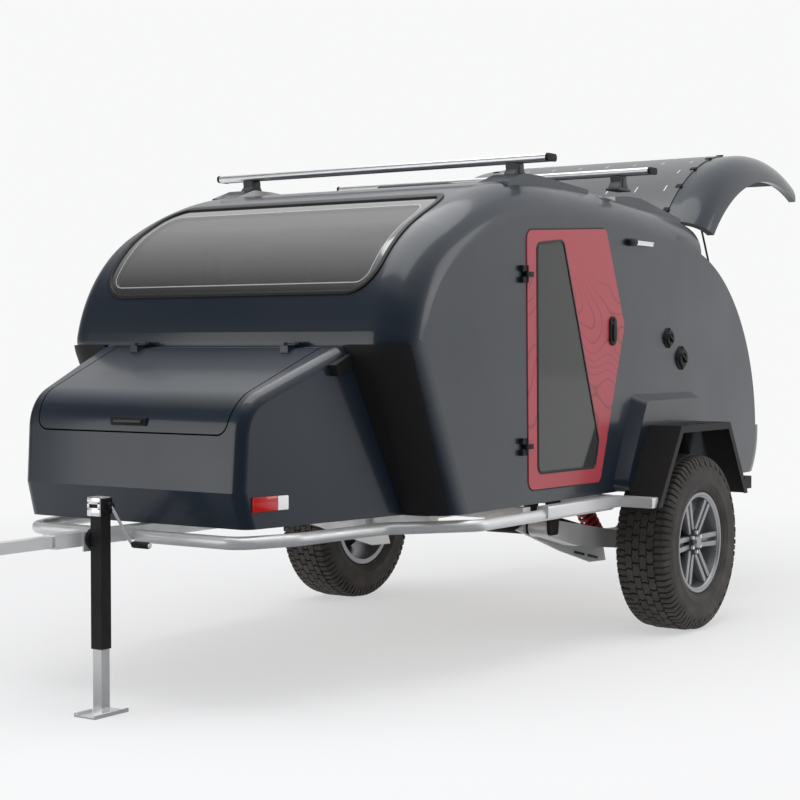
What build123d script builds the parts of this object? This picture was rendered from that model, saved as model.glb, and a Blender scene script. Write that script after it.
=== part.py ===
from build123d import *
import math
import os

# Off-road teardrop trailer, parked on its wheels and its tongue jack, rear hatch open.
# Millimetres. +X points forward to the hitch, +Y to the left side, +Z up, ground at z = 0.
# Every x below is measured from the axle; the finished parts are then moved along X so that
# the middle of the whole trailer stands over the origin.

# Cabin shell, seen from the side
NOSE_X = 2168.0
NOSE_Z = 1220.0
NOSE_RISE = 783.0
NOSE_RADIUS = 650.0
CROWN_X = 1000.0
ROOF_Z = NOSE_Z + NOSE_RISE
ROOF_RADIUS = 12000.0
TAIL_X = -1270.0
TAIL_Z = 866.0
TAIL_CORNER = 400.0
FLOOR_Z = 660.0
UNDERCUT_TOP = (NOSE_X - 13, NOSE_Z + 70)
UNDERCUT_DEPTH = 308.0
UNDERCUT_FOOT_X = NOSE_X - UNDERCUT_DEPTH
NOSE_CORNER = 160.0

# Cabin shell, seen from the front
BODY_HALF = 860.0
EDGE_ROUND = 150.0
WALL = 30.0
FLOOR_THICK = 30.0

# Wheels
WHEEL_PROUD = 223.0
TYRE_RADIUS = 405.0
TYRE_WIDTH = 270.0
TYRE_OUTER_Y = BODY_HALF + WHEEL_PROUD
TREAD_WIDTH = 226.0
BEAD_RADIUS = 216.0
RIM_LIP_RADIUS = 231.0
RIM_LIP_WIDTH = 12.0
RIM_WALL = 9.0
SPOKE_PAIRS = 6
HUB_RADIUS = 62.0
SPINDLE_RADIUS = 28.0
SPINDLE_TIP = 28.0

# Rear hatch
HATCH_X = -440.0
HATCH_FOOT_Z = 900.0
HATCH_GAP = 6.0
HATCH_OPEN = 64.0
LINER_THICK = 6.0
HINGE_KNUCKLE = 9.0
HATCH_HINGE_PITCH = 600.0
HATCH_PIN_HALF = 40.0
HATCH_EYE_HALF = 30.0

# Doors
DOOR_OUTLINE = ((1262, 1785), (560, 1828), (378, 1403), (608, 709), (1241, 714))
DOOR_CORNER = 45.0
DOOR_GAP = 6.0
DOOR_PROUD = 4.0
PANE_OUTLINE = ((1175, 1730), (952, 1752), (629, 898), (661, 783), (1161, 785))
PANE_CORNER = 30.0
PANE_THICK = 8.0
DOOR_HINGE_X = DOOR_OUTLINE[0][0] + 12
DOOR_HINGE_OUT = 14.0
DOOR_HINGE_RADIUS = 8.0
DOOR_HINGE_TALL = 70.0
DOOR_HINGE_Z = (1600.0, 900.0)
HANDLE_AT = (504.0, 1376.0)
HANDLE_SIZE = (60.0, 120.0)

# Front window: half widths set in from the sides, heights
WINDOW_LOW = (BODY_HALF - 180, ROOF_Z - 493)
WINDOW_HIGH = (BODY_HALF - 160, ROOF_Z - 98)
WINDOW_LOW_CORNER = 120.0
WINDOW_HIGH_CORNER = 60.0
WINDOW_THICK = 10.0

# Corner guards under the nose
GUARD_THICK = 12.0
GUARD_TOP_Z = UNDERCUT_TOP[1] + 23
GUARD_INNER = (BODY_HALF - 255, BODY_HALF - 180)
GUARD_REAR_X = (NOSE_X - 83, UNDERCUT_FOOT_X - 60)

# Wheel arches and fenders
ARCH = ((470, 600), (240, 945), (-290, 945), (-500, 600))
ARCH_CLEAR = 51.0
ARCH_DEPTH_Y = TYRE_OUTER_Y - TYRE_WIDTH - ARCH_CLEAR
TUB_WALL = 12.0
BUMP_PROUD = 60.0
BUMP_FACE_Y = BODY_HALF + BUMP_PROUD
BUMP = ((500, 660), (300, 1090), (-350, 1090), (-540, 660))
BUMP_FACE = ((480, 660), (262, 1062), (-312, 1062), (-520, 660))
BUMP_ROUND = 40.0
FENDER_SHEET = 6.0
FENDER_FACE_Y = TYRE_OUTER_Y - 3
FENDER_LIP = 26.0
FENDER_SLOT = (110.0, 24.0)

# Nose box, ahead of the cabin's nose
BOX_REACH = 522.0
BOX_NOSE_X = NOSE_X + BOX_REACH
BOX_FOOT = (UNDERCUT_FOOT_X - 30, BOX_NOSE_X - 40)
BOX_BELLY = (BOX_NOSE_X, FLOOR_Z + 130)
BOX_BEND = (BOX_NOSE_X - 22, FLOOR_Z + 450)
BOX_BEND_ROUND = 170.0
BOX_HINGE = (NOSE_X + 17, UNDERCUT_TOP[1] + 15)
BOX_FRONT_HALF = BODY_HALF - 328
BOX_REAR_HALF = BODY_HALF - 182
BOX_WALL = 12.0
BOX_ROUND = 45.0
LID_TOP_HALF = BOX_FRONT_HALF - 12
LID_FOOT_HALF = BOX_FRONT_HALF - 71
LID_FOOT_Z = FLOOR_Z + 330
LID_CORNER = 50.0
LID_GAP = 6.0
LID_HINGE_Y = 380.0
LID_EYE = 18.0
LATCH_SIZE = (13.0, 176.0, 30.0)
LATCH_Z = LID_FOOT_Z + 43
STOP_AT = (BOX_HINGE[0] + 10, BOX_HINGE[1] - 62)
STOP_SIZE = (130.0, 44.0)
STOP_PROUD = 24.0
LID_HINGE = (BOX_HINGE[0] - 2, BOX_HINGE[1] + 10)

# Frame
RAIL_Y = 420.0
RAIL_WIDE = 50.0
RAIL_TALL = 75.0
RAIL_ENDS = (TAIL_X + 190, UNDERCUT_FOOT_X - 60)
TONGUE_WIDE = 64.0
TONGUE_TALL = 50.0
TONGUE_Z = FLOOR_Z - 35
CHANNEL_LONG = 480.0
CHANNEL_WIDE = 46.0
CHANNEL_STEP = 5.0
CROSS_WIDE = 60.0
CROSS_TALL = 60.0
OUTRIGGER_TALL = 50.0
CROSS_X = (RAIL_ENDS[1] - 60, 1240.0, 800.0, 520.0, -430.0, RAIL_ENDS[0] + 40)
TUBE_RADIUS = 24.0
TUBE_Z = FLOOR_Z - 48
TUBE_SIDE_Y = BODY_HALF + 20
TUBE_FRONT_X = BOX_NOSE_X - 26
TUBE_REAR_X = ARCH[0][0] + 80
TUBE_BEND_ROUND = 90.0
TUBE_BENDS = (
    (TUBE_FRONT_X, BOX_FRONT_HALF - 27),
    (BOX_NOSE_X - 250, BOX_FRONT_HALF + 66),
    (UNDERCUT_FOOT_X + 100, BOX_REAR_HALF - 38),
    (UNDERCUT_FOOT_X - 210, TUBE_SIDE_Y),
)

# Suspension
ARM_Y = (ARCH_DEPTH_Y - 122, ARCH_DEPTH_Y - 46)
ARM_PIVOT = (800.0, 520.0)
ARM_PIVOT_RADIUS = 42.0
ARM_HUB_RADIUS = 58.0
ARM_KNEE = (180.0, 458.0)
ARM_BELLY = (540.0, 416.0)
SPRING_TOP = (300.0, 604.0)
SPRING_FOOT = (126.0, 424.0)
SPRING_RADIUS = 44.0
SPRING_WIRE = 8.0
SPRING_TURNS = 5
SPRING_Y = ARM_Y[0] - 52
SPRING_EYE = 15.0
SPRING_PIN_RADIUS = 8.0
DAMPER_RADIUS = 22.0
DAMPER_ROD_RADIUS = 9.0

# Tongue jack, ahead of the nose box
JACK_AHEAD = 215.0
JACK_X = BOX_NOSE_X + JACK_AHEAD
JACK_TUBE = 50.0
JACK_WALL = 4.0
JACK_SIDE_GAP = 21.0
JACK_Y = TONGUE_WIDE / 2 + JACK_SIDE_GAP + JACK_TUBE / 2
JACK_FOOT_Z = 235.0
JACK_HEAD_Z = TONGUE_Z + 95
JACK_TOP_Z = JACK_HEAD_Z + 55
JACK_CAP_TALL = 12.0
CRANK_RADIUS = 6.0
CRANK_HUB_RADIUS = 9.0
CRANK_DROP = (105.0, 144.0)
CRANK_GRIP = (12.0, 74.0)
LEG_SIZE = 41.4
LEG_TOP_Z = 370.0
LEG_TRAVEL = 190.0
FOOT_SIZE = (172.0, 100.0)
FOOT_SHEET = 6.0
FOOT_EDGE = 14.0
JACK_PIVOT_RADIUS = 20.0
JACK_FLANGE_RADIUS = 38.0
JACK_PLATE = 6.0
TONGUE_ENDS = (745.0, JACK_X + 175)
CHANNEL_END = TONGUE_ENDS[1] + CHANNEL_LONG

# Hitch yoke
YOKE_EAR = 15.0
YOKE_GAP = 62.0
YOKE_PIN_RADIUS = 12.75
YOKE_TALL = 74.0
YOKE_BACK = 24.0
YOKE_REACH = 130.0

# Roof: each bar's place along the roof and height
BARS = ((1083.0, ROOF_Z + 84), (137.0, ROOF_Z + 106))
BAR_HALF = BODY_HALF + 24
BAR_WIDE = 80.0
BAR_TALL = 32.0
BAR_FOOT_Y = BODY_HALF - 155
BAR_FOOT_SIZE = (92.0, 62.0)
ROOF_PAD_Y = (BAR_FOOT_Y - 65, BAR_FOOT_Y + 80)
ROOF_PAD_RISE = 22.0
ROOF_PAD_FLAT = 65.0
ROOF_PAD_NOSE = 190.0
ROOF_PAD_TAIL = 500.0
VENT_X = (410.0, 810.0)
VENT_HALF = 200.0
VENT_ROUND = 30.0
VENT_TOP_ROUND = 14.0
VENT_BASE_RISE = 24.0
VENT_LID_TALL = 34.0
VENT_CLEAR = 5.0
VENT_KNUCKLE = 6.0
VENT_PIN_HALF = 60.0
VENT_EYE = 20.0

# Solar panel on the hatch
PANEL_HALF = BODY_HALF - 210
PANEL_X = (HATCH_X - 35, HATCH_X - 665)
PANEL_THICK = 5.0

# Hatch struts
STRUT_Y = BODY_HALF - WALL - 52
STRUT_FOOT = (HATCH_X - 460, ROOF_Z - 623)
STRUT_STUD = (HATCH_X - 70, ROOF_Z - 231)
STRUT_BARREL_RADIUS = 11.0
STRUT_ROD_RADIUS = 5.0
STRUT_BARREL_LONG = 340.0
STRUT_NECK = (7.0, 40.0)
STRUT_CAP_GAP = 0.3
STRUT_EYE_RADIUS = 12.0
STRUT_EYE_THICK = 8.0
STRUT_PIN_RADIUS = 4.0
STUD_PLATE = 6.0
STUD_GAP = 1.5

# Galley and cabin
BULKHEAD_X = HATCH_X + 88
PANEL_BOARD = 18.0
CASE_BACK = 12.0
COUNTER_Z = HATCH_FOOT_Z + 30
COUNTER_REAR_X = TAIL_X + 90
COUNTER_CLEAR = LINER_THICK + 6
SHELF_Z = (1290.0, 1620.0)
SHELF_REAR_X = BULKHEAD_X - 288
SHELF_HALF = BODY_HALF - 100
MATTRESS_X = (BULKHEAD_X + 7, UNDERCUT_FOOT_X - 220)
MATTRESS_HALF = ARCH_DEPTH_Y - TUB_WALL - 15
MATTRESS_THICK = 130.0
MATTRESS_CORNER = 60.0

# Small fittings
LIGHT_X = (120.0, 360.0)
LIGHT_Z = 1775.0
LIGHT_PROUD = 22.0
PORTS = ((-71.0, 1347.0, 47.0), (-214.0, 1253.0, 57.0))
PORT_PROUD = 16.0
MARKER_AT = (BOX_NOSE_X - 145, FLOOR_Z + 88)
MARKER_SIZE = (170.0, 56.0)
MARKER_PROUD = 14.0
TAIL_LAMP_SIZE = (40.0, 70.0, 60.0)

SEAT_GAP = 0.3


def block(x, y, z):
    """A box between two faces along each axis."""
    size = (x[1] - x[0], y[1] - y[0], z[1] - z[0])
    middle = ((x[0] + x[1]) / 2, (y[0] + y[1]) / 2, (z[0] + z[1]) / 2)
    return Pos(*middle) * Box(*size)


def outline(points, corner=0.0):
    """A flat face from its corner points, with rounded corners if asked."""
    face = make_face(Polyline(*points, close=True))
    if corner > 0:
        face = fillet(face.vertices(), corner)
    return face


def side_prism(face, y):
    """A face drawn in the side view (x, z), filled between two y."""
    plane = Plane((0, y[1], 0), x_dir=(1, 0, 0), z_dir=(0, -1, 0))
    return extrude(plane * face, y[1] - y[0])


def front_prism(face, x):
    """A face drawn in the front view (y, z), filled between two x."""
    plane = Plane((x[0], 0, 0), x_dir=(0, 1, 0), z_dir=(1, 0, 0))
    return extrude(plane * face, x[1] - x[0])


def plan_prism(face, z):
    """A face drawn in the top view (x, y), filled between two z."""
    return extrude(Pos(0, 0, z[0]) * face, z[1] - z[0])


def rod(start, end, radius):
    """A round bar between two points."""
    way = Vector(*end) - Vector(*start)
    plane = Plane(start, z_dir=way)
    return plane * Cylinder(radius, way.length, align=(Align.CENTER, Align.CENTER, Align.MIN))


def barrel_y(at, radius, y):
    """A round bar along Y at (x, z)."""
    return rod((at[0], y[0], at[1]), (at[0], y[1], at[1]), radius)


def both_sides(shape):
    """A left-hand shape and its mirror image."""
    return shape + mirror(shape, about=Plane.XZ)


def inset(face, amount):
    """A face drawn in by an amount all round."""
    return offset(face, amount=-amount, kind=Kind.INTERSECTION)


def roof_centres():
    """Centres and radii of the roof's arcs, each tangent to the next."""
    reach = NOSE_X - CROWN_X
    brow = reach**2 - 2 * reach * NOSE_RADIUS + NOSE_RISE**2
    brow /= 2 * (NOSE_RISE - NOSE_RADIUS)
    back = CROWN_X - TAIL_X
    drop = ROOF_Z - TAIL_Z
    tail = 2 * ROOF_RADIUS * drop - back**2 - drop**2
    tail /= 2 * (ROOF_RADIUS - back)
    return {
        "nose": ((NOSE_X - NOSE_RADIUS, NOSE_Z), NOSE_RADIUS),
        "brow": ((CROWN_X, ROOF_Z - brow), brow),
        "roof": ((CROWN_X, ROOF_Z - ROOF_RADIUS), ROOF_RADIUS),
        "tail": ((TAIL_X + tail, TAIL_Z), tail),
        "corner": ((TAIL_X + TAIL_CORNER, TAIL_Z), TAIL_CORNER),
    }


def bearing(start, end):
    """Direction from one point to another, in degrees."""
    return math.degrees(math.atan2(end[1] - start[1], end[0] - start[0]))


def side_profile(grow):
    """The cabin's side outline, grown by an amount outside the floor line."""
    arcs = roof_centres()
    nose, nose_r = arcs["nose"]
    along = (UNDERCUT_TOP[0] - UNDERCUT_FOOT_X, UNDERCUT_TOP[1] - FLOOR_Z)
    length = math.hypot(*along)
    along = (along[0] / length, along[1] / length)
    foot_x = UNDERCUT_FOOT_X + grow / along[1]
    to_foot = (foot_x - nose[0], FLOOR_Z - nose[1])
    half_b = to_foot[0] * along[0] + to_foot[1] * along[1]
    rest = to_foot[0] ** 2 + to_foot[1] ** 2 - (nose_r + grow) ** 2
    step = -half_b + math.sqrt(half_b**2 - rest)
    meet = (foot_x + step * along[0], FLOOR_Z + step * along[1])
    joints = [bearing(nose, meet)]
    joints.append(bearing(arcs["brow"][0], nose))
    joints.append(90.0)
    joints.append(bearing(arcs["roof"][0], arcs["tail"][0]))
    joints.append(180.0)
    sink = math.asin((TAIL_Z - FLOOR_Z) / (TAIL_CORNER + grow))
    joints.append(180.0 + math.degrees(sink))
    edges = [Line((foot_x, FLOOR_Z), meet)]
    for index, (centre, radius) in enumerate(arcs.values()):
        turn = joints[index + 1] - joints[index]
        edges.append(CenterArc(centre, radius + grow, joints[index], turn))
    edges.append(Line(edges[-1] @ 1, edges[0] @ 0))
    face = make_face(edges)
    near_meet = face.vertices().sort_by_distance((meet[0], meet[1], 0))[0]
    return fillet(near_meet, NOSE_CORNER + grow)


def hull(grow):
    """The cabin as one full solid, grown by an amount on every side but the floor."""
    half = BODY_HALF + grow
    solid = side_prism(side_profile(grow), (-half, half))
    rims = [
        edge
        for edge in solid.edges()
        if abs(abs(edge.center().Y) - half) < 0.01 and edge.center().Z > FLOOR_Z + 0.01
    ]
    return fillet(rims, EDGE_ROUND + grow)


def surface_z(x, sink=0.0):
    """Height of the roof's middle line at x, behind the nose."""
    arcs = roof_centres()
    if x >= CROWN_X:
        (cx, cz), radius = arcs["brow"]
    elif x >= arcs["tail"][0][0]:
        (cx, cz), radius = arcs["roof"]
    else:
        (cx, cz), radius = arcs["tail"]
    return cz + math.sqrt((radius - sink) ** 2 - (x - cx) ** 2)


HATCH_HINGE = (HATCH_X, surface_z(HATCH_X) + HINGE_KNUCKLE + 2)
VENT_TOP = surface_z(VENT_X[0]) + VENT_BASE_RISE
VENT_HINGE = (VENT_X[1] + VENT_KNUCKLE + 1, VENT_TOP + VENT_CLEAR + VENT_KNUCKLE)


def opened(shape):
    """A piece of the closed hatch, swung to the parked open place."""
    x, z = HATCH_HINGE
    return Pos(x, 0, z) * Rot(0, HATCH_OPEN, 0) * Pos(-x, 0, -z) * shape


def opened_point(point):
    """Where a point (x, z) of the closed hatch lies with the hatch open."""
    turn = math.radians(HATCH_OPEN)
    dx = point[0] - HATCH_HINGE[0]
    dz = point[1] - HATCH_HINGE[1]
    x = HATCH_HINGE[0] + dx * math.cos(turn) + dz * math.sin(turn)
    z = HATCH_HINGE[1] - dx * math.sin(turn) + dz * math.cos(turn)
    return (x, z)


def seam_prism(gap):
    """The flat side area of the cabin, grown by a gap, through the whole width."""
    wide = BODY_HALF + 100
    return side_prism(side_profile(gap - EDGE_ROUND), (-wide, wide))


def behind_hatch_line(gap):
    """The space the hatch shell takes when it is shut."""
    far = abs(TAIL_X) + 200
    wide = BODY_HALF + 100
    high = ROOF_Z + 100
    return block((-far, HATCH_X - gap), (-wide, wide), (HATCH_FOOT_Z + gap, high))


def cabin_parts(parts):
    """Moulded wrap, flat sides, arch mouldings, floor, tail panel and front window."""
    outer = hull(0)
    inner = hull(-WALL)
    shell = outer - inner
    fixed_ring = shell - seam_prism(0)
    hatch_space = behind_hatch_line(0)
    tail_space = block(
        (TAIL_X - 50, TAIL_X + TAIL_CORNER), (-BODY_HALF, BODY_HALF), (FLOOR_Z, HATCH_FOOT_Z)
    )
    pane_region = window_region()
    wrap = fixed_ring - hatch_space - tail_space - pane_region
    wrap = wrap + roof_pads(outer)
    parts["body_wrap"] = wrap
    parts["tail_panel"] = fixed_ring & tail_space
    parts["front_window"] = (outer - hull(-WINDOW_THICK)) & pane_region
    side = side_prism(side_profile(-EDGE_ROUND), (BODY_HALF - WALL, BODY_HALF))
    side = side - side_prism(outline(DOOR_OUTLINE, DOOR_CORNER), (BODY_HALF - 100, BODY_HALF + 100))
    arch_hole = side_prism(arch_face(), (BODY_HALF - 100, BODY_HALF + 200))
    side = side - arch_hole
    parts["arch_mouldings"] = both_sides(arch_bump() - arch_hole)
    parts["side_wall_left"] = side
    parts["side_wall_right"] = mirror(side, about=Plane.XZ)
    slab = block(
        (TAIL_X, NOSE_X), (-BODY_HALF + WALL, BODY_HALF - WALL), (FLOOR_Z, FLOOR_Z + FLOOR_THICK)
    )
    floor = slab & inner
    tub = wheel_tub()
    parts["floor_deck"] = floor - both_sides(tub_space(TUB_WALL))
    parts["wheel_tubs"] = both_sides(tub)
    return outer, inner


def window_region():
    """The front window's outline in the front view, run through the nose."""
    low_y, low_z = WINDOW_LOW
    high_y, high_z = WINDOW_HIGH
    face = outline(((-low_y, low_z), (low_y, low_z), (high_y, high_z), (-high_y, high_z)))
    lower = [v for v in face.vertices() if v.Y < (low_z + high_z) / 2]
    face = fillet(lower, WINDOW_LOW_CORNER)
    upper = [v for v in face.vertices() if v.Y > high_z - 1]
    face = fillet(upper, WINDOW_HIGH_CORNER)
    return front_prism(face, (CROWN_X, NOSE_X + 100))


def roof_pads(outer):
    """Raised pads moulded into the roof under the bar feet."""
    pads = None
    for bar_x, _ in BARS:
        top = surface_z(bar_x) + ROOF_PAD_RISE
        nose = bar_x + ROOF_PAD_NOSE
        tail = bar_x - ROOF_PAD_TAIL
        view = outline(
            (
                (nose, surface_z(nose) - EDGE_ROUND / 2),
                (nose, surface_z(nose)),
                (bar_x + ROOF_PAD_FLAT, top),
                (bar_x - ROOF_PAD_FLAT, top),
                (tail, surface_z(tail)),
                (tail, surface_z(tail) - EDGE_ROUND / 2),
            )
        )
        pad = side_prism(view, ROOF_PAD_Y) - outer
        pads = pad if pads is None else pads + pad
    return both_sides(pads)


def arch_bump():
    """The body-colour swelling over the wheel, tapered towards its outer face."""
    base = Plane((0, BODY_HALF, 0), x_dir=(1, 0, 0), z_dir=(0, -1, 0)) * outline(BUMP, BUMP_ROUND)
    outer = Plane((0, BUMP_FACE_Y, 0), x_dir=(1, 0, 0), z_dir=(0, -1, 0))
    return loft([base, outer * outline(BUMP_FACE, BUMP_ROUND)])


def arch_face(grow=0.0):
    """The wheel arch's outline, its legs run on below their feet, grown all round."""
    front_foot, front_top, rear_top, rear_foot = ARCH
    front = run_on(front_top, front_foot)
    rear = run_on(rear_top, rear_foot)
    face = outline((front, front_top, rear_top, rear))
    if grow:
        face = inset(face, -grow)
    return face


def run_on(start, end):
    """A point past the end of a line, half as far again."""
    return (end[0] + (end[0] - start[0]) / 2, end[1] + (end[1] - start[1]) / 2)


def tub_space(wall):
    """The space a wheel takes inside the cabin, grown by a wall."""
    return side_prism(arch_face(wall), (ARCH_DEPTH_Y - wall, BODY_HALF - WALL))


def wheel_tub():
    """The five-sided tub over a wheel, inside the cabin."""
    tub = tub_space(TUB_WALL) - tub_space(0)
    reach = abs(ARCH[3][0]) * 2
    return tub & block((-reach, reach), (0, BODY_HALF), (FLOOR_Z, NOSE_Z))


def fender():
    """A folded sheet round the wheel, with an outer lip and three slots."""
    path = arch_face(FENDER_SHEET)
    span = (BUMP_FACE_Y, FENDER_FACE_Y)
    sheet = side_prism(path, span) - side_prism(arch_face(), (span[0] - 1, span[1] + 1))
    lip = side_prism(path, (span[1] - FENDER_SHEET, span[1]))
    sheet = sheet + (lip - side_prism(arch_face(-FENDER_LIP), (span[0], span[1] + 1)))
    reach = abs(ARCH[3][0]) * 2
    sheet = sheet - block((-reach, reach), (span[0] - 1, span[1] + 1), (0, ARCH[0][1]))
    middle = (ARCH[1][0] + ARCH[2][0]) / 2
    pitch = (ARCH[1][0] - ARCH[2][0]) / 3
    long, wide = FENDER_SLOT
    slot_y = (span[1] - FENDER_LIP - wide, span[1] - FENDER_LIP)
    slot_z = (ARCH[1][1] - 20, ARCH[1][1] + 20)
    for step in (-1, 0, 1):
        slot_x = middle + step * pitch
        sheet = sheet - block((slot_x - long / 2, slot_x + long / 2), slot_y, slot_z)
    return sheet


def corner_guard(outer, box_outer):
    """Black skin wrapped round a lower front corner of the body."""
    skin = hull(GUARD_THICK) - outer
    far = NOSE_X + 100
    view = outline(
        (
            (GUARD_REAR_X[1], FLOOR_Z),
            (far, FLOOR_Z),
            (far, GUARD_TOP_Z),
            (GUARD_REAR_X[0], GUARD_TOP_Z),
        )
    )
    skin = skin & side_prism(view, (0, BODY_HALF + GUARD_THICK + 1))
    front = outline(
        (
            (GUARD_INNER[1], FLOOR_Z),
            (BODY_HALF + 50, FLOOR_Z),
            (BODY_HALF + 50, GUARD_TOP_Z),
            (GUARD_INNER[0], GUARD_TOP_Z),
        )
    )
    skin = skin & front_prism(front, (GUARD_REAR_X[1] - 100, far))
    return skin - box_outer


def box_solid(sink):
    """The nose box as a full solid, drawn in by a wall thickness."""
    profile = outline(
        (
            (BOX_FOOT[0], FLOOR_Z),
            (BOX_FOOT[1], FLOOR_Z),
            BOX_BELLY,
            BOX_BEND,
            BOX_HINGE,
            (BOX_HINGE[0] - 60, BOX_HINGE[1]),
        )
    )
    bend = profile.vertices().sort_by_distance((BOX_BEND[0], BOX_BEND[1], 0))[0]
    profile = fillet(bend, BOX_BEND_ROUND)
    if sink:
        profile = inset(profile, sink)
    wide = BOX_REAR_HALF + 50
    solid = side_prism(profile, (-wide, wide))
    plan = outline(
        (
            (BOX_FOOT[0] - 50, -BOX_REAR_HALF + sink),
            (BOX_FOOT[0], -BOX_REAR_HALF + sink),
            (BOX_BELLY[0], -BOX_FRONT_HALF + sink),
            (BOX_BELLY[0] + 50, -BOX_FRONT_HALF + sink),
            (BOX_BELLY[0] + 50, BOX_FRONT_HALF - sink),
            (BOX_BELLY[0], BOX_FRONT_HALF - sink),
            (BOX_FOOT[0], BOX_REAR_HALF - sink),
            (BOX_FOOT[0] - 50, BOX_REAR_HALF - sink),
        )
    )
    solid = solid & plan_prism(plan, (FLOOR_Z, BOX_HINGE[1] + 10))
    sharp = [
        edge
        for edge in solid.edges()
        if edge.center().Z > FLOOR_Z + 5 and abs(edge.center().Y) > 300
        and edge.center().X > BOX_HINGE[0] - 40
    ]
    return fillet(sharp, BOX_ROUND - sink)


def lid_region(gap):
    """Where the lid lies on the nose box, drawn in by a gap."""
    top_z = BOX_HINGE[1] + 40
    spread = (LID_TOP_HALF - LID_FOOT_HALF) / (BOX_HINGE[1] - LID_FOOT_Z)
    top_half = LID_FOOT_HALF + spread * (top_z - LID_FOOT_Z)
    face = outline(
        (
            (-LID_FOOT_HALF, LID_FOOT_Z),
            (LID_FOOT_HALF, LID_FOOT_Z),
            (top_half, top_z),
            (-top_half, top_z),
        )
    )
    lower = [v for v in face.vertices() if v.Y < LID_FOOT_Z + 1]
    face = fillet(lower, LID_CORNER)
    if gap:
        face = inset(face, gap)
    return front_prism(face, (BOX_HINGE[0] + gap, BOX_BELLY[0] + 100))


def box_parts(parts, outer):
    """Nose box, its lid, hinges and latch."""
    full = box_solid(0)
    cavity = box_solid(BOX_WALL) - hull(BOX_WALL)
    walls = full - outer - cavity
    parts["nose_box"] = walls - lid_region(0)
    skin = full - box_solid(BOX_WALL)
    lid = skin & lid_region(LID_GAP)
    lid_solids = lid.solids().sort_by(SortBy.VOLUME)
    lid = lid_solids[-1]
    x, z = LID_HINGE
    for side in (-1, 1):
        at = side * LID_HINGE_Y
        span = (at - LID_EYE, at + LID_EYE)
        leaf = block((x, x + 3 * LID_EYE), span, (z - 3 * LID_EYE, z - HINGE_KNUCKLE / 2))
        lid = lid + (leaf - full) + barrel_y(LID_HINGE, HINGE_KNUCKLE, span)
    parts["nose_lid"] = lid
    parts["lid_latch"] = lid_latch(full)
    return full


def box_front_x(z):
    """Where the nose box's front face lies at a height."""
    share = (z - BOX_BELLY[1]) / (BOX_BEND[1] - BOX_BELLY[1])
    return BOX_BELLY[0] + share * (BOX_BEND[0] - BOX_BELLY[0])


def lid_latch(box_full):
    """The long pull latch on the lid's front."""
    deep, wide, tall = LATCH_SIZE
    face = box_front_x(LATCH_Z)
    span = (-wide / 2, wide / 2)
    body = block((face - 2 * deep, face + deep), span, (LATCH_Z - tall / 2, LATCH_Z + tall / 2))
    body = chamfer(body.edges().group_by(Axis.X)[-1], deep / 3)
    return body - box_full


def box_stops(box_full):
    """Black rubber blocks on the nose box's upper rear corners."""
    x, z = STOP_AT
    long, tall = STOP_SIZE
    lean = bearing(BOX_HINGE, BOX_BEND)
    y = box_side_y(x)
    stop = Pos(x, y, z) * Rot(0, -lean, 0) * Box(long, 2 * STOP_PROUD, tall)
    return both_sides(stop - box_full)


def box_side_y(x):
    """Half the nose box's width at x."""
    share = (x - BOX_FOOT[0]) / (BOX_BELLY[0] - BOX_FOOT[0])
    return BOX_REAR_HALF + share * (BOX_FRONT_HALF - BOX_REAR_HALF)


def fixed_lid_hinges(box_full, outer):
    """The nose box's half of the lid hinges."""
    x, z = LID_HINGE
    pieces = None
    for side in (-1, 1):
        for end in (-1, 1):
            at = side * LID_HINGE_Y + end * (LID_EYE * 1.5 + SEAT_GAP)
            span = (at - LID_EYE / 2, at + LID_EYE / 2)
            eye = barrel_y(LID_HINGE, HINGE_KNUCKLE, span)
            foot = block((x - 2 * LID_EYE, x), span, (z - HINGE_KNUCKLE, z - HINGE_KNUCKLE / 2))
            piece = (eye + foot) - box_full - outer
            pieces = piece if pieces is None else pieces + piece
    return pieces


def door_parts(parts):
    """Doors with their panes, hinges and pull latches."""
    opening = outline(DOOR_OUTLINE, DOOR_CORNER)
    leaf = inset(opening, DOOR_GAP)
    panel = side_prism(leaf, (BODY_HALF - WALL, BODY_HALF + DOOR_PROUD))
    hole = outline(PANE_OUTLINE, PANE_CORNER)
    panel = panel - side_prism(hole, (0, BODY_HALF + 50))
    middle = BODY_HALF - WALL / 2
    pane = side_prism(hole, (middle - PANE_THICK / 2, middle + PANE_THICK / 2))
    hinge_y = BODY_HALF + DOOR_HINGE_OUT
    fixed = None
    for z in DOOR_HINGE_Z:
        third = DOOR_HINGE_TALL / 3
        centre = (DOOR_HINGE_X, hinge_y)
        low = z - third / 2 + SEAT_GAP
        high = z + third / 2 - SEAT_GAP
        knuckle = rod((*centre, low), (*centre, high), DOOR_HINGE_RADIUS)
        strap = block(
            (DOOR_HINGE_X - 50, DOOR_HINGE_X),
            (BODY_HALF + DOOR_PROUD, hinge_y + 4),
            (low, high),
        )
        panel = panel + knuckle + strap
        for end in (-1, 1):
            low = z + end * third - third / 2
            eye = rod((*centre, low), (*centre, low + third), DOOR_HINGE_RADIUS)
            foot = block(
                (DOOR_HINGE_X, DOOR_HINGE_X + 34), (BODY_HALF, hinge_y + 4), (low, low + third)
            )
            piece = eye + foot
            fixed = piece if fixed is None else fixed + piece
    x, z = HANDLE_AT
    wide, tall = HANDLE_SIZE
    skin = BODY_HALF + DOOR_PROUD
    plate = block((x - wide / 2, x + wide / 2), (skin, skin + 8), (z - tall / 2, z + tall / 2))
    plate = chamfer(plate.edges().group_by(Axis.Y)[-1], 4)
    grip = block((x - 14, x + 14), (skin + 8, skin + 16), (z - 34, z + 34))
    handle = plate + grip
    shapes = {"door": panel, "door_pane": pane, "door_handle": handle}
    for name, shape in shapes.items():
        parts[name + "_left"] = shape
        parts[name + "_right"] = mirror(shape, about=Plane.XZ)
    return both_sides(fixed)


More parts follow.
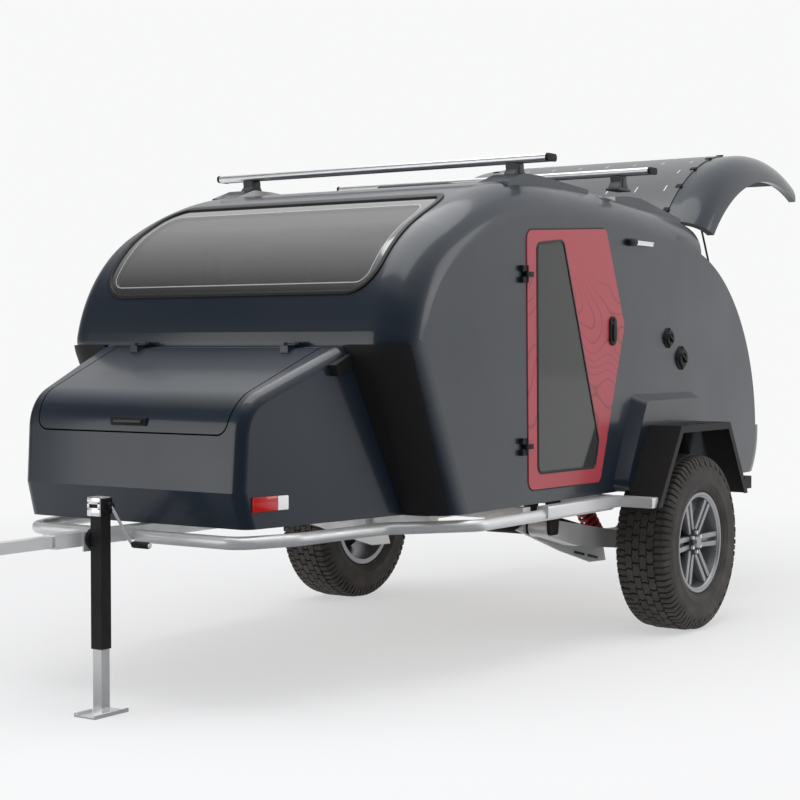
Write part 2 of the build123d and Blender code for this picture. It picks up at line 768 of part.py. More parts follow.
def hatch_parts(parts, outer, inner):
    """Hatch shell, liner, solar panel, latch and stud plates, swung open."""
    ring = (outer - inner) - seam_prism(HATCH_GAP)
    space = behind_hatch_line(HATCH_GAP)
    shell = ring & space
    x, z = HATCH_HINGE
    liner_depth = WALL + LINER_THICK
    liner = inner - hull(-liner_depth)
    liner = (liner - seam_prism(HATCH_GAP)) & space
    hinge_seat = None
    for side in (-1, 0, 1):
        at = side * HATCH_HINGE_PITCH
        span = (at - HATCH_PIN_HALF, at + HATCH_PIN_HALF)
        pin = barrel_y(HATCH_HINGE, HINGE_KNUCKLE, span)
        strap = block((x - 70, x), span, (z - 60, z + 2)) - outer
        hinge = pin + strap
        hinge_seat = hinge if hinge_seat is None else hinge_seat + hinge
    parts["hatch_shell"] = opened(shell + hinge_seat)
    skin = hull(PANEL_THICK) - outer
    sheet = skin & block(
        (PANEL_X[1], PANEL_X[0]), (-PANEL_HALF, PANEL_HALF), (NOSE_Z, ROOF_Z + 50)
    )
    straps = block((x - 75, x + 1), (-BODY_HALF, BODY_HALF), (z - 100, z + 50))
    parts["solar_panel"] = opened(sheet - straps)
    latch_z = HATCH_FOOT_Z + 90
    latch = block((TAIL_X, TAIL_X + 90), (-45, 45), (latch_z - 35, latch_z + 35))
    latch = latch & hull(-liner_depth)
    stud_x, stud_z = STRUT_STUD
    top = surface_z(stud_x, liner_depth)
    plate_face = STRUT_Y - STRUT_ROD_RADIUS - STUD_GAP
    plate_y = (plate_face - STUD_PLATE, plate_face)
    plate = block((stud_x - 22, stud_x + 22), plate_y, (stud_z, top + 30))
    plate = plate + barrel_y(STRUT_STUD, 22, plate_y)
    plate = plate & inner
    parts["hatch_liner"] = opened(liner + both_sides(plate) + latch)


def fixed_hatch_hinges():
    """The body's half of the hatch hinge."""
    x, z = HATCH_HINGE
    pieces = None
    for side in (-1, 0, 1):
        for end in (-1, 1):
            at = side * HATCH_HINGE_PITCH + end * (HATCH_PIN_HALF + HATCH_EYE_HALF + SEAT_GAP)
            span = (at - HATCH_EYE_HALF, at + HATCH_EYE_HALF)
            eye = barrel_y(HATCH_HINGE, HINGE_KNUCKLE, span)
            foot = block((x, x + 60), span, (z - 60, z + 2))
            piece = eye + foot
            pieces = piece if pieces is None else pieces + piece
    return pieces


def strut_parts(parts):
    """Gas struts between the side walls and the open hatch."""
    top = opened_point(STRUT_STUD)
    foot = STRUT_FOOT
    way = (top[0] - foot[0], top[1] - foot[1])
    length = math.hypot(*way)
    way = (way[0] / length, way[1] / length)

    def at(distance):
        return (foot[0] + way[0] * distance, STRUT_Y, foot[1] + way[1] * distance)

    eye_y = (STRUT_Y - STRUT_EYE_THICK / 2, STRUT_Y + STRUT_EYE_THICK / 2)
    eye = barrel_y(foot, STRUT_EYE_RADIUS, eye_y)
    neck_radius, neck_end = STRUT_NECK
    neck = rod(at(STRUT_EYE_RADIUS - 3), at(neck_end), neck_radius)
    tube = rod(at(neck_end), at(STRUT_BARREL_LONG), STRUT_BARREL_RADIUS)
    bore = rod(at(neck_end + 20), at(STRUT_BARREL_LONG + 1), STRUT_ROD_RADIUS + STRUT_CAP_GAP)
    barrel = eye + neck + tube - bore
    barrel = barrel - barrel_y(foot, STRUT_PIN_RADIUS + STRUT_CAP_GAP, eye_y)
    shaft = rod(at(STRUT_BARREL_LONG - 30), at(length - STRUT_EYE_RADIUS + 3), STRUT_ROD_RADIUS)
    rod_eye = barrel_y(top, STRUT_EYE_RADIUS, eye_y)
    parts["strut_barrel_left"] = barrel
    parts["strut_rod_left"] = shaft + rod_eye
    wall_y = BODY_HALF - WALL
    pin = barrel_y(foot, STRUT_PIN_RADIUS, (eye_y[0], wall_y))
    base = block((foot[0] - 25, foot[0] + 25), (wall_y - 6, wall_y), (foot[1] - 40, foot[1] + 40))
    for name in ("strut_barrel", "strut_rod"):
        parts[name + "_right"] = mirror(parts[name + "_left"], about=Plane.XZ)
    return both_sides(pin + base)


def wheel_parts(parts):
    """Tyres and alloy rims."""
    middle = TYRE_OUTER_Y - TYRE_WIDTH / 2
    half = TYRE_WIDTH / 2
    tread = TREAD_WIDTH / 2
    bead_half = half - 32
    section = make_face(
        Polyline(
            (BEAD_RADIUS, -bead_half),
            (RIM_LIP_RADIUS + 4, -bead_half),
            (RIM_LIP_RADIUS + 55, -half + 6),
            (TYRE_RADIUS - 80, -half),
            (TYRE_RADIUS - 22, -tread - 6),
            (TYRE_RADIUS - 6, -tread + 14),
            (TYRE_RADIUS, -tread + 60),
            (TYRE_RADIUS, tread - 60),
            (TYRE_RADIUS - 6, tread - 14),
            (TYRE_RADIUS - 22, tread + 6),
            (TYRE_RADIUS - 80, half),
            (RIM_LIP_RADIUS + 55, half - 6),
            (RIM_LIP_RADIUS + 4, bead_half),
            (BEAD_RADIUS, bead_half),
            close=True,
        )
    )
    tyre = revolve(section, Axis.Y)
    lip = RIM_LIP_WIDTH
    inner = BEAD_RADIUS - RIM_WALL
    rim_section = make_face(
        Polyline(
            (inner, -bead_half - lip),
            (RIM_LIP_RADIUS, -bead_half - lip),
            (RIM_LIP_RADIUS, -bead_half),
            (BEAD_RADIUS, -bead_half),
            (BEAD_RADIUS, bead_half),
            (RIM_LIP_RADIUS, bead_half),
            (RIM_LIP_RADIUS, bead_half + lip),
            (inner, bead_half + lip),
            close=True,
        )
    )
    rim = revolve(rim_section, Axis.Y)
    face_y = bead_half - 18
    disc = make_face(
        Polyline(
            (0, face_y - 80),
            (HUB_RADIUS, face_y - 80),
            (HUB_RADIUS + 6, face_y - 40),
            (inner + 2, face_y - 14),
            (inner + 2, face_y + 10),
            (HUB_RADIUS + 14, face_y - 8),
            (HUB_RADIUS, face_y - 18),
            (0, face_y - 18),
            close=True,
        )
    )
    face = revolve(disc, Axis.Y)
    step = 360 / SPOKE_PAIRS
    windows = None
    for index in range(SPOKE_PAIRS):
        wide = make_face(
            Polyline((HUB_RADIUS + 24, -9), (inner - 14, -38), (inner - 8, 0),
                     (inner - 14, 38), (HUB_RADIUS + 24, 9), close=True)
        )
        wide = fillet(wide.vertices(), 5)
        slim = make_face(
            Polyline((HUB_RADIUS + 30, -4), (inner - 16, -9),
                     (inner - 16, 9), (HUB_RADIUS + 30, 4), close=True)
        )
        slim = fillet(slim.vertices(), 2)
        for shape, turn in ((wide, index * step), (slim, (index + 0.5) * step)):
            cut = extrude(Rot(90, 0, 0) * Rot(0, 0, turn) * shape, 200, both=True)
            windows = cut if windows is None else windows + cut
    face = face - windows
    drum = rod((0, -60, 0), (0, face_y - 80, 0), HUB_RADIUS)
    rim = rim + face + drum
    rim = rim - rod((0, -half, 0), (0, SPINDLE_TIP + 2, 0), SPINDLE_RADIUS + SEAT_GAP)
    place = Pos(0, middle, TYRE_RADIUS)
    parts["tyre_left"] = place * tyre
    parts["rim_left"] = place * rim
    parts["tyre_right"] = mirror(parts["tyre_left"], about=Plane.XZ)
    parts["rim_right"] = mirror(parts["rim_left"], about=Plane.XZ)


def suspension_parts(parts):
    """Trailing arms, spindles, coil springs and dampers."""
    pivot, hub = ARM_PIVOT, (0, TYRE_RADIUS)
    arm = side_prism(
        outline(
            (
                (pivot[0], pivot[1] + 38),
                ARM_KNEE,
                (hub[0], hub[1] + 48),
                (hub[0], hub[1] - 50),
                ARM_BELLY,
                (pivot[0], pivot[1] - 38),
            )
        ),
        ARM_Y,
    )
    arm = arm + barrel_y(pivot, ARM_PIVOT_RADIUS, (ARM_Y[0] - 8, ARM_Y[1] + 8))
    arm = arm + barrel_y(hub, ARM_HUB_RADIUS, (ARM_Y[0], ARM_Y[1] + 14))
    middle = TYRE_OUTER_Y - TYRE_WIDTH / 2
    arm = arm + barrel_y(hub, SPINDLE_RADIUS, (ARM_Y[1], middle + SPINDLE_TIP))
    arm = arm + barrel_y(SPRING_FOOT, SPRING_PIN_RADIUS, (SPRING_Y - SPRING_EYE - 6, ARM_Y[0]))
    arm = arm - barrel_y(pivot, 12, (0, BODY_HALF))
    parts["trailing_arms"] = both_sides(arm)
    hanger = None
    for y in (ARM_Y[0] - 24, ARM_Y[1] + 10):
        cheek = side_prism(
            outline(
                (
                    (pivot[0] - 60, FLOOR_Z),
                    (pivot[0] + 60, FLOOR_Z),
                    (pivot[0] + 34, pivot[1] - 30),
                    (pivot[0] - 34, pivot[1] - 30),
                ),
                12,
            ),
            (y, y + 14),
        )
        hanger = cheek if hanger is None else hanger + cheek
    hanger = hanger + barrel_y(pivot, 11.9, (ARM_Y[0] - 24, ARM_Y[1] + 24))
    cheek_low = SPRING_TOP[1] - SPRING_EYE
    for y in (SPRING_Y - SPRING_EYE - 9, SPRING_Y + SPRING_EYE + 1):
        cheek = block(
            (SPRING_TOP[0] - 20, SPRING_TOP[0] + 20), (y, y + 8), (cheek_low, FLOOR_Z)
        )
        hanger = hanger + cheek
    pin_span = (SPRING_Y - SPRING_EYE - 9, SPRING_Y + SPRING_EYE + 9)
    hanger = hanger + barrel_y(SPRING_TOP, SPRING_PIN_RADIUS, pin_span)
    parts["arm_hangers"] = both_sides(hanger)
    foot = (SPRING_FOOT[0], SPRING_Y, SPRING_FOOT[1])
    top = (SPRING_TOP[0], SPRING_Y, SPRING_TOP[1])
    way = (Vector(*top) - Vector(*foot)).normalized()
    length = (Vector(*top) - Vector(*foot)).length

    def at(distance):
        return tuple(Vector(*foot) + way * distance)

    seat = SPRING_EYE + 12
    top_seat = SPRING_EYE + 21
    plate = 8
    eye_y = (SPRING_Y - SPRING_EYE, SPRING_Y + SPRING_EYE)
    damper = rod(at(0), at(length * 0.6), DAMPER_RADIUS)
    damper = damper + rod(at(10), at(length), DAMPER_ROD_RADIUS)
    damper = damper + rod(at(seat - plate), at(seat), SPRING_RADIUS)
    damper = damper + rod(at(length - top_seat), at(length - top_seat + plate), SPRING_RADIUS)
    for end in (SPRING_FOOT, SPRING_TOP):
        damper = damper + barrel_y(end, SPRING_EYE, eye_y)
    for end in (SPRING_FOOT, SPRING_TOP):
        damper = damper - barrel_y(end, SPRING_PIN_RADIUS + SEAT_GAP / 3, (0, BODY_HALF))
    parts["dampers"] = both_sides(damper)
    travel = length - seat - top_seat - 2 * SPRING_WIRE
    coil = Helix(travel / SPRING_TURNS, travel, SPRING_RADIUS - SPRING_WIRE)
    start = Plane(coil @ 0, z_dir=coil % 0)
    wire = sweep(start * Circle(SPRING_WIRE), coil)
    place = Plane(at(seat + SPRING_WIRE), z_dir=way)
    parts["coil_springs"] = both_sides(place * wire)


def frame_parts(parts):
    """Rails, crossmembers, tongue, side tube, hitch yoke."""
    top = FLOOR_Z
    low = FLOOR_Z - RAIL_TALL
    half = RAIL_WIDE / 2
    rail = block(RAIL_ENDS, (RAIL_Y - half, RAIL_Y + half), (low, top))
    parts["frame_rails"] = both_sides(rail)
    tongue_half = TONGUE_WIDE / 2
    tongue_z = (TONGUE_Z - TONGUE_TALL / 2, TONGUE_Z + TONGUE_TALL / 2)
    tongue = block(TONGUE_ENDS, (-tongue_half, tongue_half), tongue_z)
    parts["tongue"] = tongue
    cross = None
    for x in CROSS_X:
        ahead = x + CROSS_WIDE / 2 > TONGUE_ENDS[0]
        inner_y = tongue_half if ahead else 0
        span = (x - CROSS_WIDE / 2, x + CROSS_WIDE / 2)
        if ahead:
            piece = both_sides(block(span, (inner_y, RAIL_Y - half), (top - CROSS_TALL, top)))
        else:
            piece = block(span, (-RAIL_Y + half, RAIL_Y - half), (top - CROSS_TALL, top))
        cross = piece if cross is None else cross + piece
    arms = None
    for x in CROSS_X[:4]:
        span = (x - CROSS_WIDE / 2, x + CROSS_WIDE / 2)
        reach = TUBE_SIDE_Y - TUBE_RADIUS
        if x == CROSS_X[0]:
            reach = BOX_REAR_HALF + 52
        if x == CROSS_X[2]:
            continue
        piece = block(span, (RAIL_Y + half, reach), (top - CROSS_TALL, top - CROSS_TALL + OUTRIGGER_TALL))
        arms = piece if arms is None else arms + piece
    parts["crossmembers"] = cross + both_sides(arms)
    path = FilletPolyline(
        (TUBE_FRONT_X, tongue_half, TUBE_Z),
        *[(x, y, TUBE_Z) for x, y in TUBE_BENDS],
        (TUBE_REAR_X, TUBE_SIDE_Y, TUBE_Z),
        radius=TUBE_BEND_ROUND,
    )
    start = Plane(path @ 0, z_dir=path % 0)
    tube = sweep(start * Circle(TUBE_RADIUS), path)
    parts["side_tubes"] = both_sides(tube)
    channel_half = CHANNEL_WIDE / 2
    channel = block(
        (TONGUE_ENDS[1], CHANNEL_END),
        (-channel_half, channel_half),
        (tongue_z[0] + CHANNEL_STEP, tongue_z[1] - CHANNEL_STEP),
    )
    parts["hitch_yoke"] = hitch_yoke() + channel


def hitch_yoke():
    """A two-eared yoke with a cross bore for the tow pin."""
    half_gap = YOKE_GAP / 2
    outer = half_gap + YOKE_EAR
    pin_x = CHANNEL_END + YOKE_REACH
    low, high = TONGUE_Z - YOKE_TALL / 2, TONGUE_Z + YOKE_TALL / 2
    back_x = CHANNEL_END + YOKE_BACK
    back = block((CHANNEL_END, back_x), (-outer, outer), (low, high))
    ear = block((back_x, pin_x), (half_gap, outer), (low, high))
    ear = ear + barrel_y((pin_x, TONGUE_Z), YOKE_TALL / 2, (half_gap, outer))
    yoke = back + both_sides(ear)
    return yoke - barrel_y((pin_x, TONGUE_Z), YOKE_PIN_RADIUS, (-outer - 1, outer + 1))


def jack_parts(parts):
    """Swivel tongue jack: bracket, tube, crank and sliding leg."""
    x, y = JACK_X, JACK_Y
    half = JACK_TUBE / 2
    tube = block((x - half, x + half), (y - half, y + half), (JACK_FOOT_Z, JACK_HEAD_Z))
    room = half - JACK_WALL
    tube = tube - block((x - room, x + room), (y - room, y + room), (0, JACK_HEAD_Z - 20))
    mount_y = (TONGUE_WIDE / 2, TONGUE_WIDE / 2 + JACK_PLATE)
    tube_face = y - half
    pivot = (x, TONGUE_Z)
    flange = barrel_y(pivot, JACK_FLANGE_RADIUS, (mount_y[1] + SEAT_GAP, tube_face))
    hole = barrel_y(pivot, JACK_PIVOT_RADIUS + SEAT_GAP / 3, (0, tube_face + JACK_WALL))
    parts["jack_tube"] = tube + flange - hole
    plate_half = JACK_FLANGE_RADIUS + JACK_PLATE
    plate = block(
        (x - plate_half, x + plate_half),
        mount_y,
        (TONGUE_Z - plate_half, TONGUE_Z + TONGUE_TALL / 2),
    )
    pin = barrel_y(pivot, JACK_PIVOT_RADIUS, (mount_y[0], tube_face + JACK_WALL))
    parts["tongue"] = parts["tongue"] + plate + pin
    cap_z = JACK_TOP_Z - JACK_CAP_TALL
    side = half + 5
    head = block((x - side, x + side), (y - side, y + side), (JACK_HEAD_Z, cap_z))
    rim_x, rim_y = half + 10, half + 9
    head = head + block((x - rim_x, x + rim_x), (y - rim_y, y + rim_y), (cap_z, JACK_TOP_Z))
    side_y = y + side
    hub = (x - 10, JACK_HEAD_Z + 22)
    crank = barrel_y(hub, CRANK_HUB_RADIUS, (side_y, side_y + 16))
    arm_y = side_y + 12
    low = (hub[0] - CRANK_DROP[0], arm_y, hub[1] - CRANK_DROP[1])
    crank = crank + rod((hub[0], arm_y, hub[1]), low, CRANK_RADIUS)
    grip_radius, grip_long = CRANK_GRIP
    crank = crank + rod(low, (low[0], low[1] + grip_long, low[2]), grip_radius)
    parts["jack_head"] = head + crank
    leg_half = LEG_SIZE / 2
    leg = block((x - leg_half, x + leg_half), (y - leg_half, y + leg_half), (FOOT_SHEET, LEG_TOP_Z))
    foot = block(
        (x - FOOT_SIZE[0] / 2, x + FOOT_SIZE[0] / 2),
        (y - FOOT_SIZE[1] / 2, y + FOOT_SIZE[1] / 2),
        (0, FOOT_SHEET),
    )
    for end in (-1, 1):
        edge_y = y + end * FOOT_SIZE[1] / 2
        inner_y = edge_y - end * FOOT_SHEET
        edge = block(
            (x - FOOT_SIZE[0] / 2, x + FOOT_SIZE[0] / 2),
            (min(edge_y, inner_y), max(edge_y, inner_y)),
            (0, FOOT_EDGE),
        )
        foot = foot + edge
    parts["jack_leg"] = leg + foot


def roof_parts(parts, outer):
    """Crossbars on feet and the roof vent."""
    bars = None
    feet = None
    for bar_x, bar_z in BARS:
        half, tall = BAR_WIDE / 2, BAR_TALL / 2
        section = outline(((-half, -tall), (half, -tall), (half, tall), (-half, tall)))
        section = fillet(section.vertices(), tall * 0.8)
        bar = extrude(
            Plane((bar_x, -BAR_HALF, bar_z), x_dir=(-1, 0, 0), z_dir=(0, 1, 0)) * section,
            2 * BAR_HALF,
        )
        bars = bar if bars is None else bars + bar
        low = surface_z(bar_x) + ROOF_PAD_RISE
        foot = block(
            (bar_x - BAR_FOOT_SIZE[0] / 2, bar_x + BAR_FOOT_SIZE[0] / 2),
            (BAR_FOOT_Y - BAR_FOOT_SIZE[1] / 2, BAR_FOOT_Y + BAR_FOOT_SIZE[1] / 2),
            (low, bar_z - tall),
        )
        foot = chamfer(foot.edges().group_by(Axis.Z)[-1], 10)
        feet = foot if feet is None else feet + foot
    parts["crossbars"] = bars
    parts["bar_feet"] = both_sides(feet)
    base_top = VENT_TOP
    base = block(VENT_X, (-VENT_HALF, VENT_HALF), (base_top - 60, base_top))
    base = fillet(base.edges().filter_by(Axis.Z), VENT_ROUND) - outer
    lid_low = base_top + VENT_CLEAR
    lid = block(
        (VENT_X[0] + 6, VENT_X[1] - 2),
        (-VENT_HALF + 6, VENT_HALF - 6),
        (lid_low, lid_low + VENT_LID_TALL),
    )
    lid = fillet(lid.edges().filter_by(Axis.Z), VENT_ROUND)
    lid = fillet(lid.edges().group_by(Axis.Z)[-1], VENT_TOP_ROUND)
    tab = block(
        (VENT_X[1] - 12, VENT_HINGE[0]),
        (-VENT_PIN_HALF, VENT_PIN_HALF),
        (VENT_HINGE[1] - VENT_KNUCKLE + 1, VENT_HINGE[1] + VENT_KNUCKLE - 1),
    )
    pin = barrel_y(VENT_HINGE, VENT_KNUCKLE, (-VENT_PIN_HALF, VENT_PIN_HALF))
    parts["vent_lid"] = lid + tab + pin
    for side in (-1, 1):
        span = sorted((side * (VENT_PIN_HALF + SEAT_GAP), side * (VENT_PIN_HALF + VENT_EYE)))
        cheek = block(
            (VENT_HINGE[0] - VENT_KNUCKLE, VENT_HINGE[0] + VENT_KNUCKLE),
            span,
            (base_top - 10, VENT_HINGE[1]),
        )
        base = base + cheek + barrel_y(VENT_HINGE, VENT_KNUCKLE, span)
    parts["vent_base"] = base


def cabin_fittings(parts, inner):
    """Bulkhead, galley boards and mattress."""
    wide = BODY_HALF
    high = ROOF_Z
    wall = inner & block(
        (BULKHEAD_X - PANEL_BOARD, BULKHEAD_X), (-wide, wide), (FLOOR_Z + FLOOR_THICK, high)
    )
    parts["bulkhead"] = wall - both_sides(tub_space(TUB_WALL))
    rear = BULKHEAD_X - PANEL_BOARD
    board = block((COUNTER_REAR_X, rear), (-wide, wide), (COUNTER_Z - PANEL_BOARD, COUNTER_Z))
    board = (board & hull(-WALL - COUNTER_CLEAR)) - both_sides(tub_space(TUB_WALL))
    low, top = SHELF_Z
    case = block((SHELF_REAR_X, rear), (-SHELF_HALF, SHELF_HALF), (low, top))
    case = case - block(
        (SHELF_REAR_X - 1, rear - CASE_BACK),
        (-SHELF_HALF + PANEL_BOARD, SHELF_HALF - PANEL_BOARD),
        (low + PANEL_BOARD, top - PANEL_BOARD),
    )
    for y in (-SHELF_HALF / 3, SHELF_HALF / 3):
        case = case + block(
            (SHELF_REAR_X, rear), (y - PANEL_BOARD / 2, y + PANEL_BOARD / 2), (low, top)
        )
    parts["galley"] = board + case
    floor_top = FLOOR_Z + FLOOR_THICK
    bed = block(
        MATTRESS_X, (-MATTRESS_HALF, MATTRESS_HALF), (floor_top + SEAT_GAP, floor_top + MATTRESS_THICK)
    )
    parts["mattress"] = fillet(bed.edges().filter_by(Axis.Z), MATTRESS_CORNER)


def small_fittings(parts):
    """Porch lights, side ports, lamps and latches."""
    low, high = LIGHT_X
    skin = BODY_HALF
    bracket = block((low, high), (skin, skin + LIGHT_PROUD), (LIGHT_Z - 9, LIGHT_Z + 9))
    parts["porch_lights"] = both_sides(chamfer(bracket.edges().group_by(Axis.Y)[-1], 4))
    ports = None
    for x, z, radius in PORTS:
        port = barrel_y((x, z), radius, (skin, skin + PORT_PROUD))
        port = chamfer(port.edges().group_by(Axis.Y)[-1], 4)
        ports = port if ports is None else ports + port
    parts["side_ports"] = ports
    depth, wide, tall = TAIL_LAMP_SIZE
    leg_x = ARCH[3][0] - FENDER_SHEET - 4
    low_z = ARCH[3][1] + 20
    lamp = block(
        (leg_x - depth, leg_x + depth), (FENDER_FACE_Y - wide, FENDER_FACE_Y), (low_z, low_z + tall)
    )
    lamp = lamp - side_prism(arch_face(FENDER_SHEET), (0, FENDER_FACE_Y + 1))
    parts["tail_lamps"] = both_sides(lamp)


def marker_lamps(parts, box_full):
    """Flat lamps on the nose box's sides."""
    x, z = MARKER_AT
    long, tall = MARKER_SIZE
    bulk = block(
        (x - long / 2, x + long / 2), (RAIL_Y, BOX_REAR_HALF + 60), (z - tall / 2, z + tall / 2)
    )
    rear, front = BOX_FOOT[0], BOX_BELLY[0] + 50
    plan = outline(
        (
            (rear, box_side_y(rear) - 30),
            (front, box_side_y(front) - 30),
            (front, box_side_y(front) + MARKER_PROUD),
            (rear, box_side_y(rear) + MARKER_PROUD),
        )
    )
    lamp = (bulk & plan_prism(plan, (FLOOR_Z, NOSE_Z))) - box_full
    parts["marker_lamps"] = both_sides(lamp)


def build():
    """All parts by name, measured from the axle."""
    parts = {}
    outer, inner = cabin_parts(parts)
    box_full = box_parts(parts, outer)
    guards = both_sides(corner_guard(outer, box_full))
    parts["corner_guards"] = guards + (box_stops(box_full) - outer)
    parts["fenders"] = both_sides(fender())
    hinges = door_parts(parts)
    hinges = hinges + strut_parts(parts)
    hinges = hinges + fixed_lid_hinges(box_full, outer)
    parts["fixed_hinges"] = hinges + (fixed_hatch_hinges() - outer)
    hatch_parts(parts, outer, inner)
    wheel_parts(parts)
    suspension_parts(parts)
    frame_parts(parts)
    jack_parts(parts)
    roof_parts(parts, outer)
    cabin_fittings(parts, inner)
    small_fittings(parts)
    marker_lamps(parts, box_full)
    return parts


def middle_x(parts):
    """The x of the whole trailer's middle, from its foremost and rearmost parts."""
    front = parts["hitch_yoke"].bounding_box().max.X
    rear = min(parts["hatch_shell"].bounding_box().min.X, parts["solar_panel"].bounding_box().min.X)
    return (front + rear) / 2


if __name__ == "__main__":
    os.makedirs("parts", exist_ok=True)
    made = build()
    shift = middle_x(made)
    for name, shape in made.items():
        export_step(Pos(-shift, 0, 0) * shape, f"parts/{name}.step")
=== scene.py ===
import math
from contextlib import contextmanager

import bpy
from mathutils import Matrix, Vector


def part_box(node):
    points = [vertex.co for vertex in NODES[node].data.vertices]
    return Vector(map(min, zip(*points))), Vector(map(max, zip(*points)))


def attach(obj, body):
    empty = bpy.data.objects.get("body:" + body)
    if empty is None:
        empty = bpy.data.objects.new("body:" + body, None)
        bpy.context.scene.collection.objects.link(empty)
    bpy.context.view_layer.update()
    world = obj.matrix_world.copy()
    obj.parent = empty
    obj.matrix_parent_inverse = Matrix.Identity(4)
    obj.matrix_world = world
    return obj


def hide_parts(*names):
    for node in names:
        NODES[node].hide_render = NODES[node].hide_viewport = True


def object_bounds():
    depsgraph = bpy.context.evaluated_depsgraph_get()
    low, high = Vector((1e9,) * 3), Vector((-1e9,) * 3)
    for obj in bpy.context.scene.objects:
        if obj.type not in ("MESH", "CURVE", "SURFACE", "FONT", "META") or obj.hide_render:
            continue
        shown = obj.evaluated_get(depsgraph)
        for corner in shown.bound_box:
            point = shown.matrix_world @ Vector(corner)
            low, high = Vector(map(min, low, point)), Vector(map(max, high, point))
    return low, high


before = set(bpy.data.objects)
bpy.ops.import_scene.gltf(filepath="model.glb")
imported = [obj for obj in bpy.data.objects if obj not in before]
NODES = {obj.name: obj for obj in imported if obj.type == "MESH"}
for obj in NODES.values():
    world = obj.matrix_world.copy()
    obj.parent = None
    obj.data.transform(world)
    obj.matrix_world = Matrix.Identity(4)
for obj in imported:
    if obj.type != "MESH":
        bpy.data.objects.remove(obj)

bl_info = {
    "name": "Off-road teardrop trailer",
    "version": (1, 0, 0),
    "blender": (4, 5, 0),
    "location": "3D View > Sidebar > Trailer",
    "description": "Dresses the trailer's solids with seals, tread, fittings and finishes",
    "category": "Object",
}

CAD_LOW, CAD_HIGH = [Vector(corner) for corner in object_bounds()]
TYRE_LOW, TYRE_HIGH = [Vector(corner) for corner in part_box("tyre_left")]
WHEEL = (TYRE_LOW + TYRE_HIGH) / 2
TYRE_R = (TYRE_HIGH.z - TYRE_LOW.z) / 2

# Left and right run along y
ACROSS = (0, 1, 0)
SIDES = (("left", 1), ("right", -1))

# Outlines in metres: (x, z) with x from the axle, but (y, z) for the window
DOOR = ((1.262, 1.785), (0.560, 1.828), (0.378, 1.403), (0.608, 0.709), (1.241, 0.714))
DOOR_CORNER = 0.045
PANE = ((1.175, 1.730), (0.952, 1.752), (0.629, 0.898), (0.661, 0.783), (1.161, 0.785))
PANE_CORNER = 0.030
WINDOW = ((-0.680, 1.510), (0.680, 1.510), (0.700, 1.905), (-0.700, 1.905))
WINDOW_CORNERS = (0.120, 0.120, 0.060, 0.060)
SKIN = 0.860
DOOR_LATCH = (0.504, 1.376)
DOOR_KNUCKLE_X = 1.2565
DOOR_HINGE_HEIGHTS = (1.600, 0.900)

# Fittings: crossbars as (x, z), ports as (x, z, radius), x from the axle; the nose box's side tapers
CROSSBARS = ((1.083, 2.087), (0.137, 2.109))
BAR_TOWER_Y = 0.705
PORTS = ((-0.071, 1.347, 0.047), (-0.214, 1.253, 0.057))
BOX_SIDE_X, BOX_SIDE_Y, BOX_SIDE_LONG, BOX_SIDE_TAPER = 1.83, 0.678, 0.86, 0.146
MARKER_Z = 0.748
CRANK_END = (2.790, 0.598)
ARM_PLATE = ((0.924, 0.516), (0.786, 0.552), (0.127, 0.419), (0.086, 0.301), (0.246, 0.308), (0.533, 0.387))
ARM_SLOTS = (((0.400, 0.371), (0.300, 0.349)), ((0.270, 0.343), (0.170, 0.322)))

# The mattress: voxel size, pressure and frames of its cloth pass, and how far a point may swell
BED_VOXEL = 0.018
BED_PRESSURE = 4.0
BED_FRAMES = 20
BED_SWELL = 0.012

# The open hatch: its hinge, how far it is open, and the arc that its section follows when shut
HATCH_HINGE = (-0.440, 1.92056)
HATCH_OPEN = math.radians(64)
TAIL_CENTRE = (-0.19897, 0.866)
TAIL_RADIUS = 1.07103
HATCH_FRONT_X = -0.446
HATCH_FOOT_Z = 0.906

# The studio: its white, the dark card that the front corner mirrors, the bright card behind
STUDIO_WHITE = (0.94, 0.942, 0.945)
STUDIO_DARK = (0.02, 0.026, 0.034)
DARK_SIDE = (0.8, 0.6, 0.0)
REAR_CARD = (-1.0, 0.0, -0.11)
REAR_CARD_EDGE = 0.9
TOP_CARD = (-0.45, 0.1, 1.0)
DARK_EDGE = (0.10, 0.72)
FLOOR_COLOUR = (0.88, 0.88, 0.885, 1)
FLOOR_GLOW = (2.5, 7.0, 0.55, 1.0)
CAMERA_PLACE = (7.408, 4.419, 1.307)
CAMERA_TURN = (88.244, 0, 124.18)
CAMERA_LENS = 78.46
LAMPS = (
    ((0.5, 0.5, 5.5), (0.5, 0.5, 0.0), 5.0, 170),
    ((-4.5, 6.5, 3.2), (-1.0, 0.9, 1.0), 3.0, 50),
    ((7.0, -3.2, 1.8), (1.6, 0.0, 1.0), 3.6, 75),
)


# Modelling


def at(x, y, z):
    """A point whose x is measured from the axle."""
    return Vector((WHEEL.x + x, y, z))


def deselect():
    bpy.ops.object.select_all(action="DESELECT")


def pick(piece):
    deselect()
    piece.select_set(True)
    bpy.context.view_layer.objects.active = piece


def settle(piece):
    """Puts a piece's place and turn into its mesh."""
    pick(piece)
    bpy.ops.object.transform_apply(location=True, rotation=True, scale=True)


def modified(piece, kind, **values):
    """Adds a modifier, sets it and applies it."""
    modifier = piece.modifiers.new(kind, kind)
    for key, value in values.items():
        setattr(modifier, key, value)
    pick(piece)
    bpy.ops.object.modifier_apply(modifier=modifier.name)


def rounded_edges(piece, width, segments=2, angle=30):
    modified(
        piece, "BEVEL", width=width, segments=segments, limit_method="ANGLE",
        angle_limit=math.radians(angle),
    )


@contextmanager
def editing(piece):
    """Edit mode on one piece, with all of it selected."""
    pick(piece)
    bpy.ops.object.mode_set(mode="EDIT")
    bpy.ops.mesh.select_all(action="SELECT")
    yield
    bpy.ops.object.mode_set(mode="OBJECT")


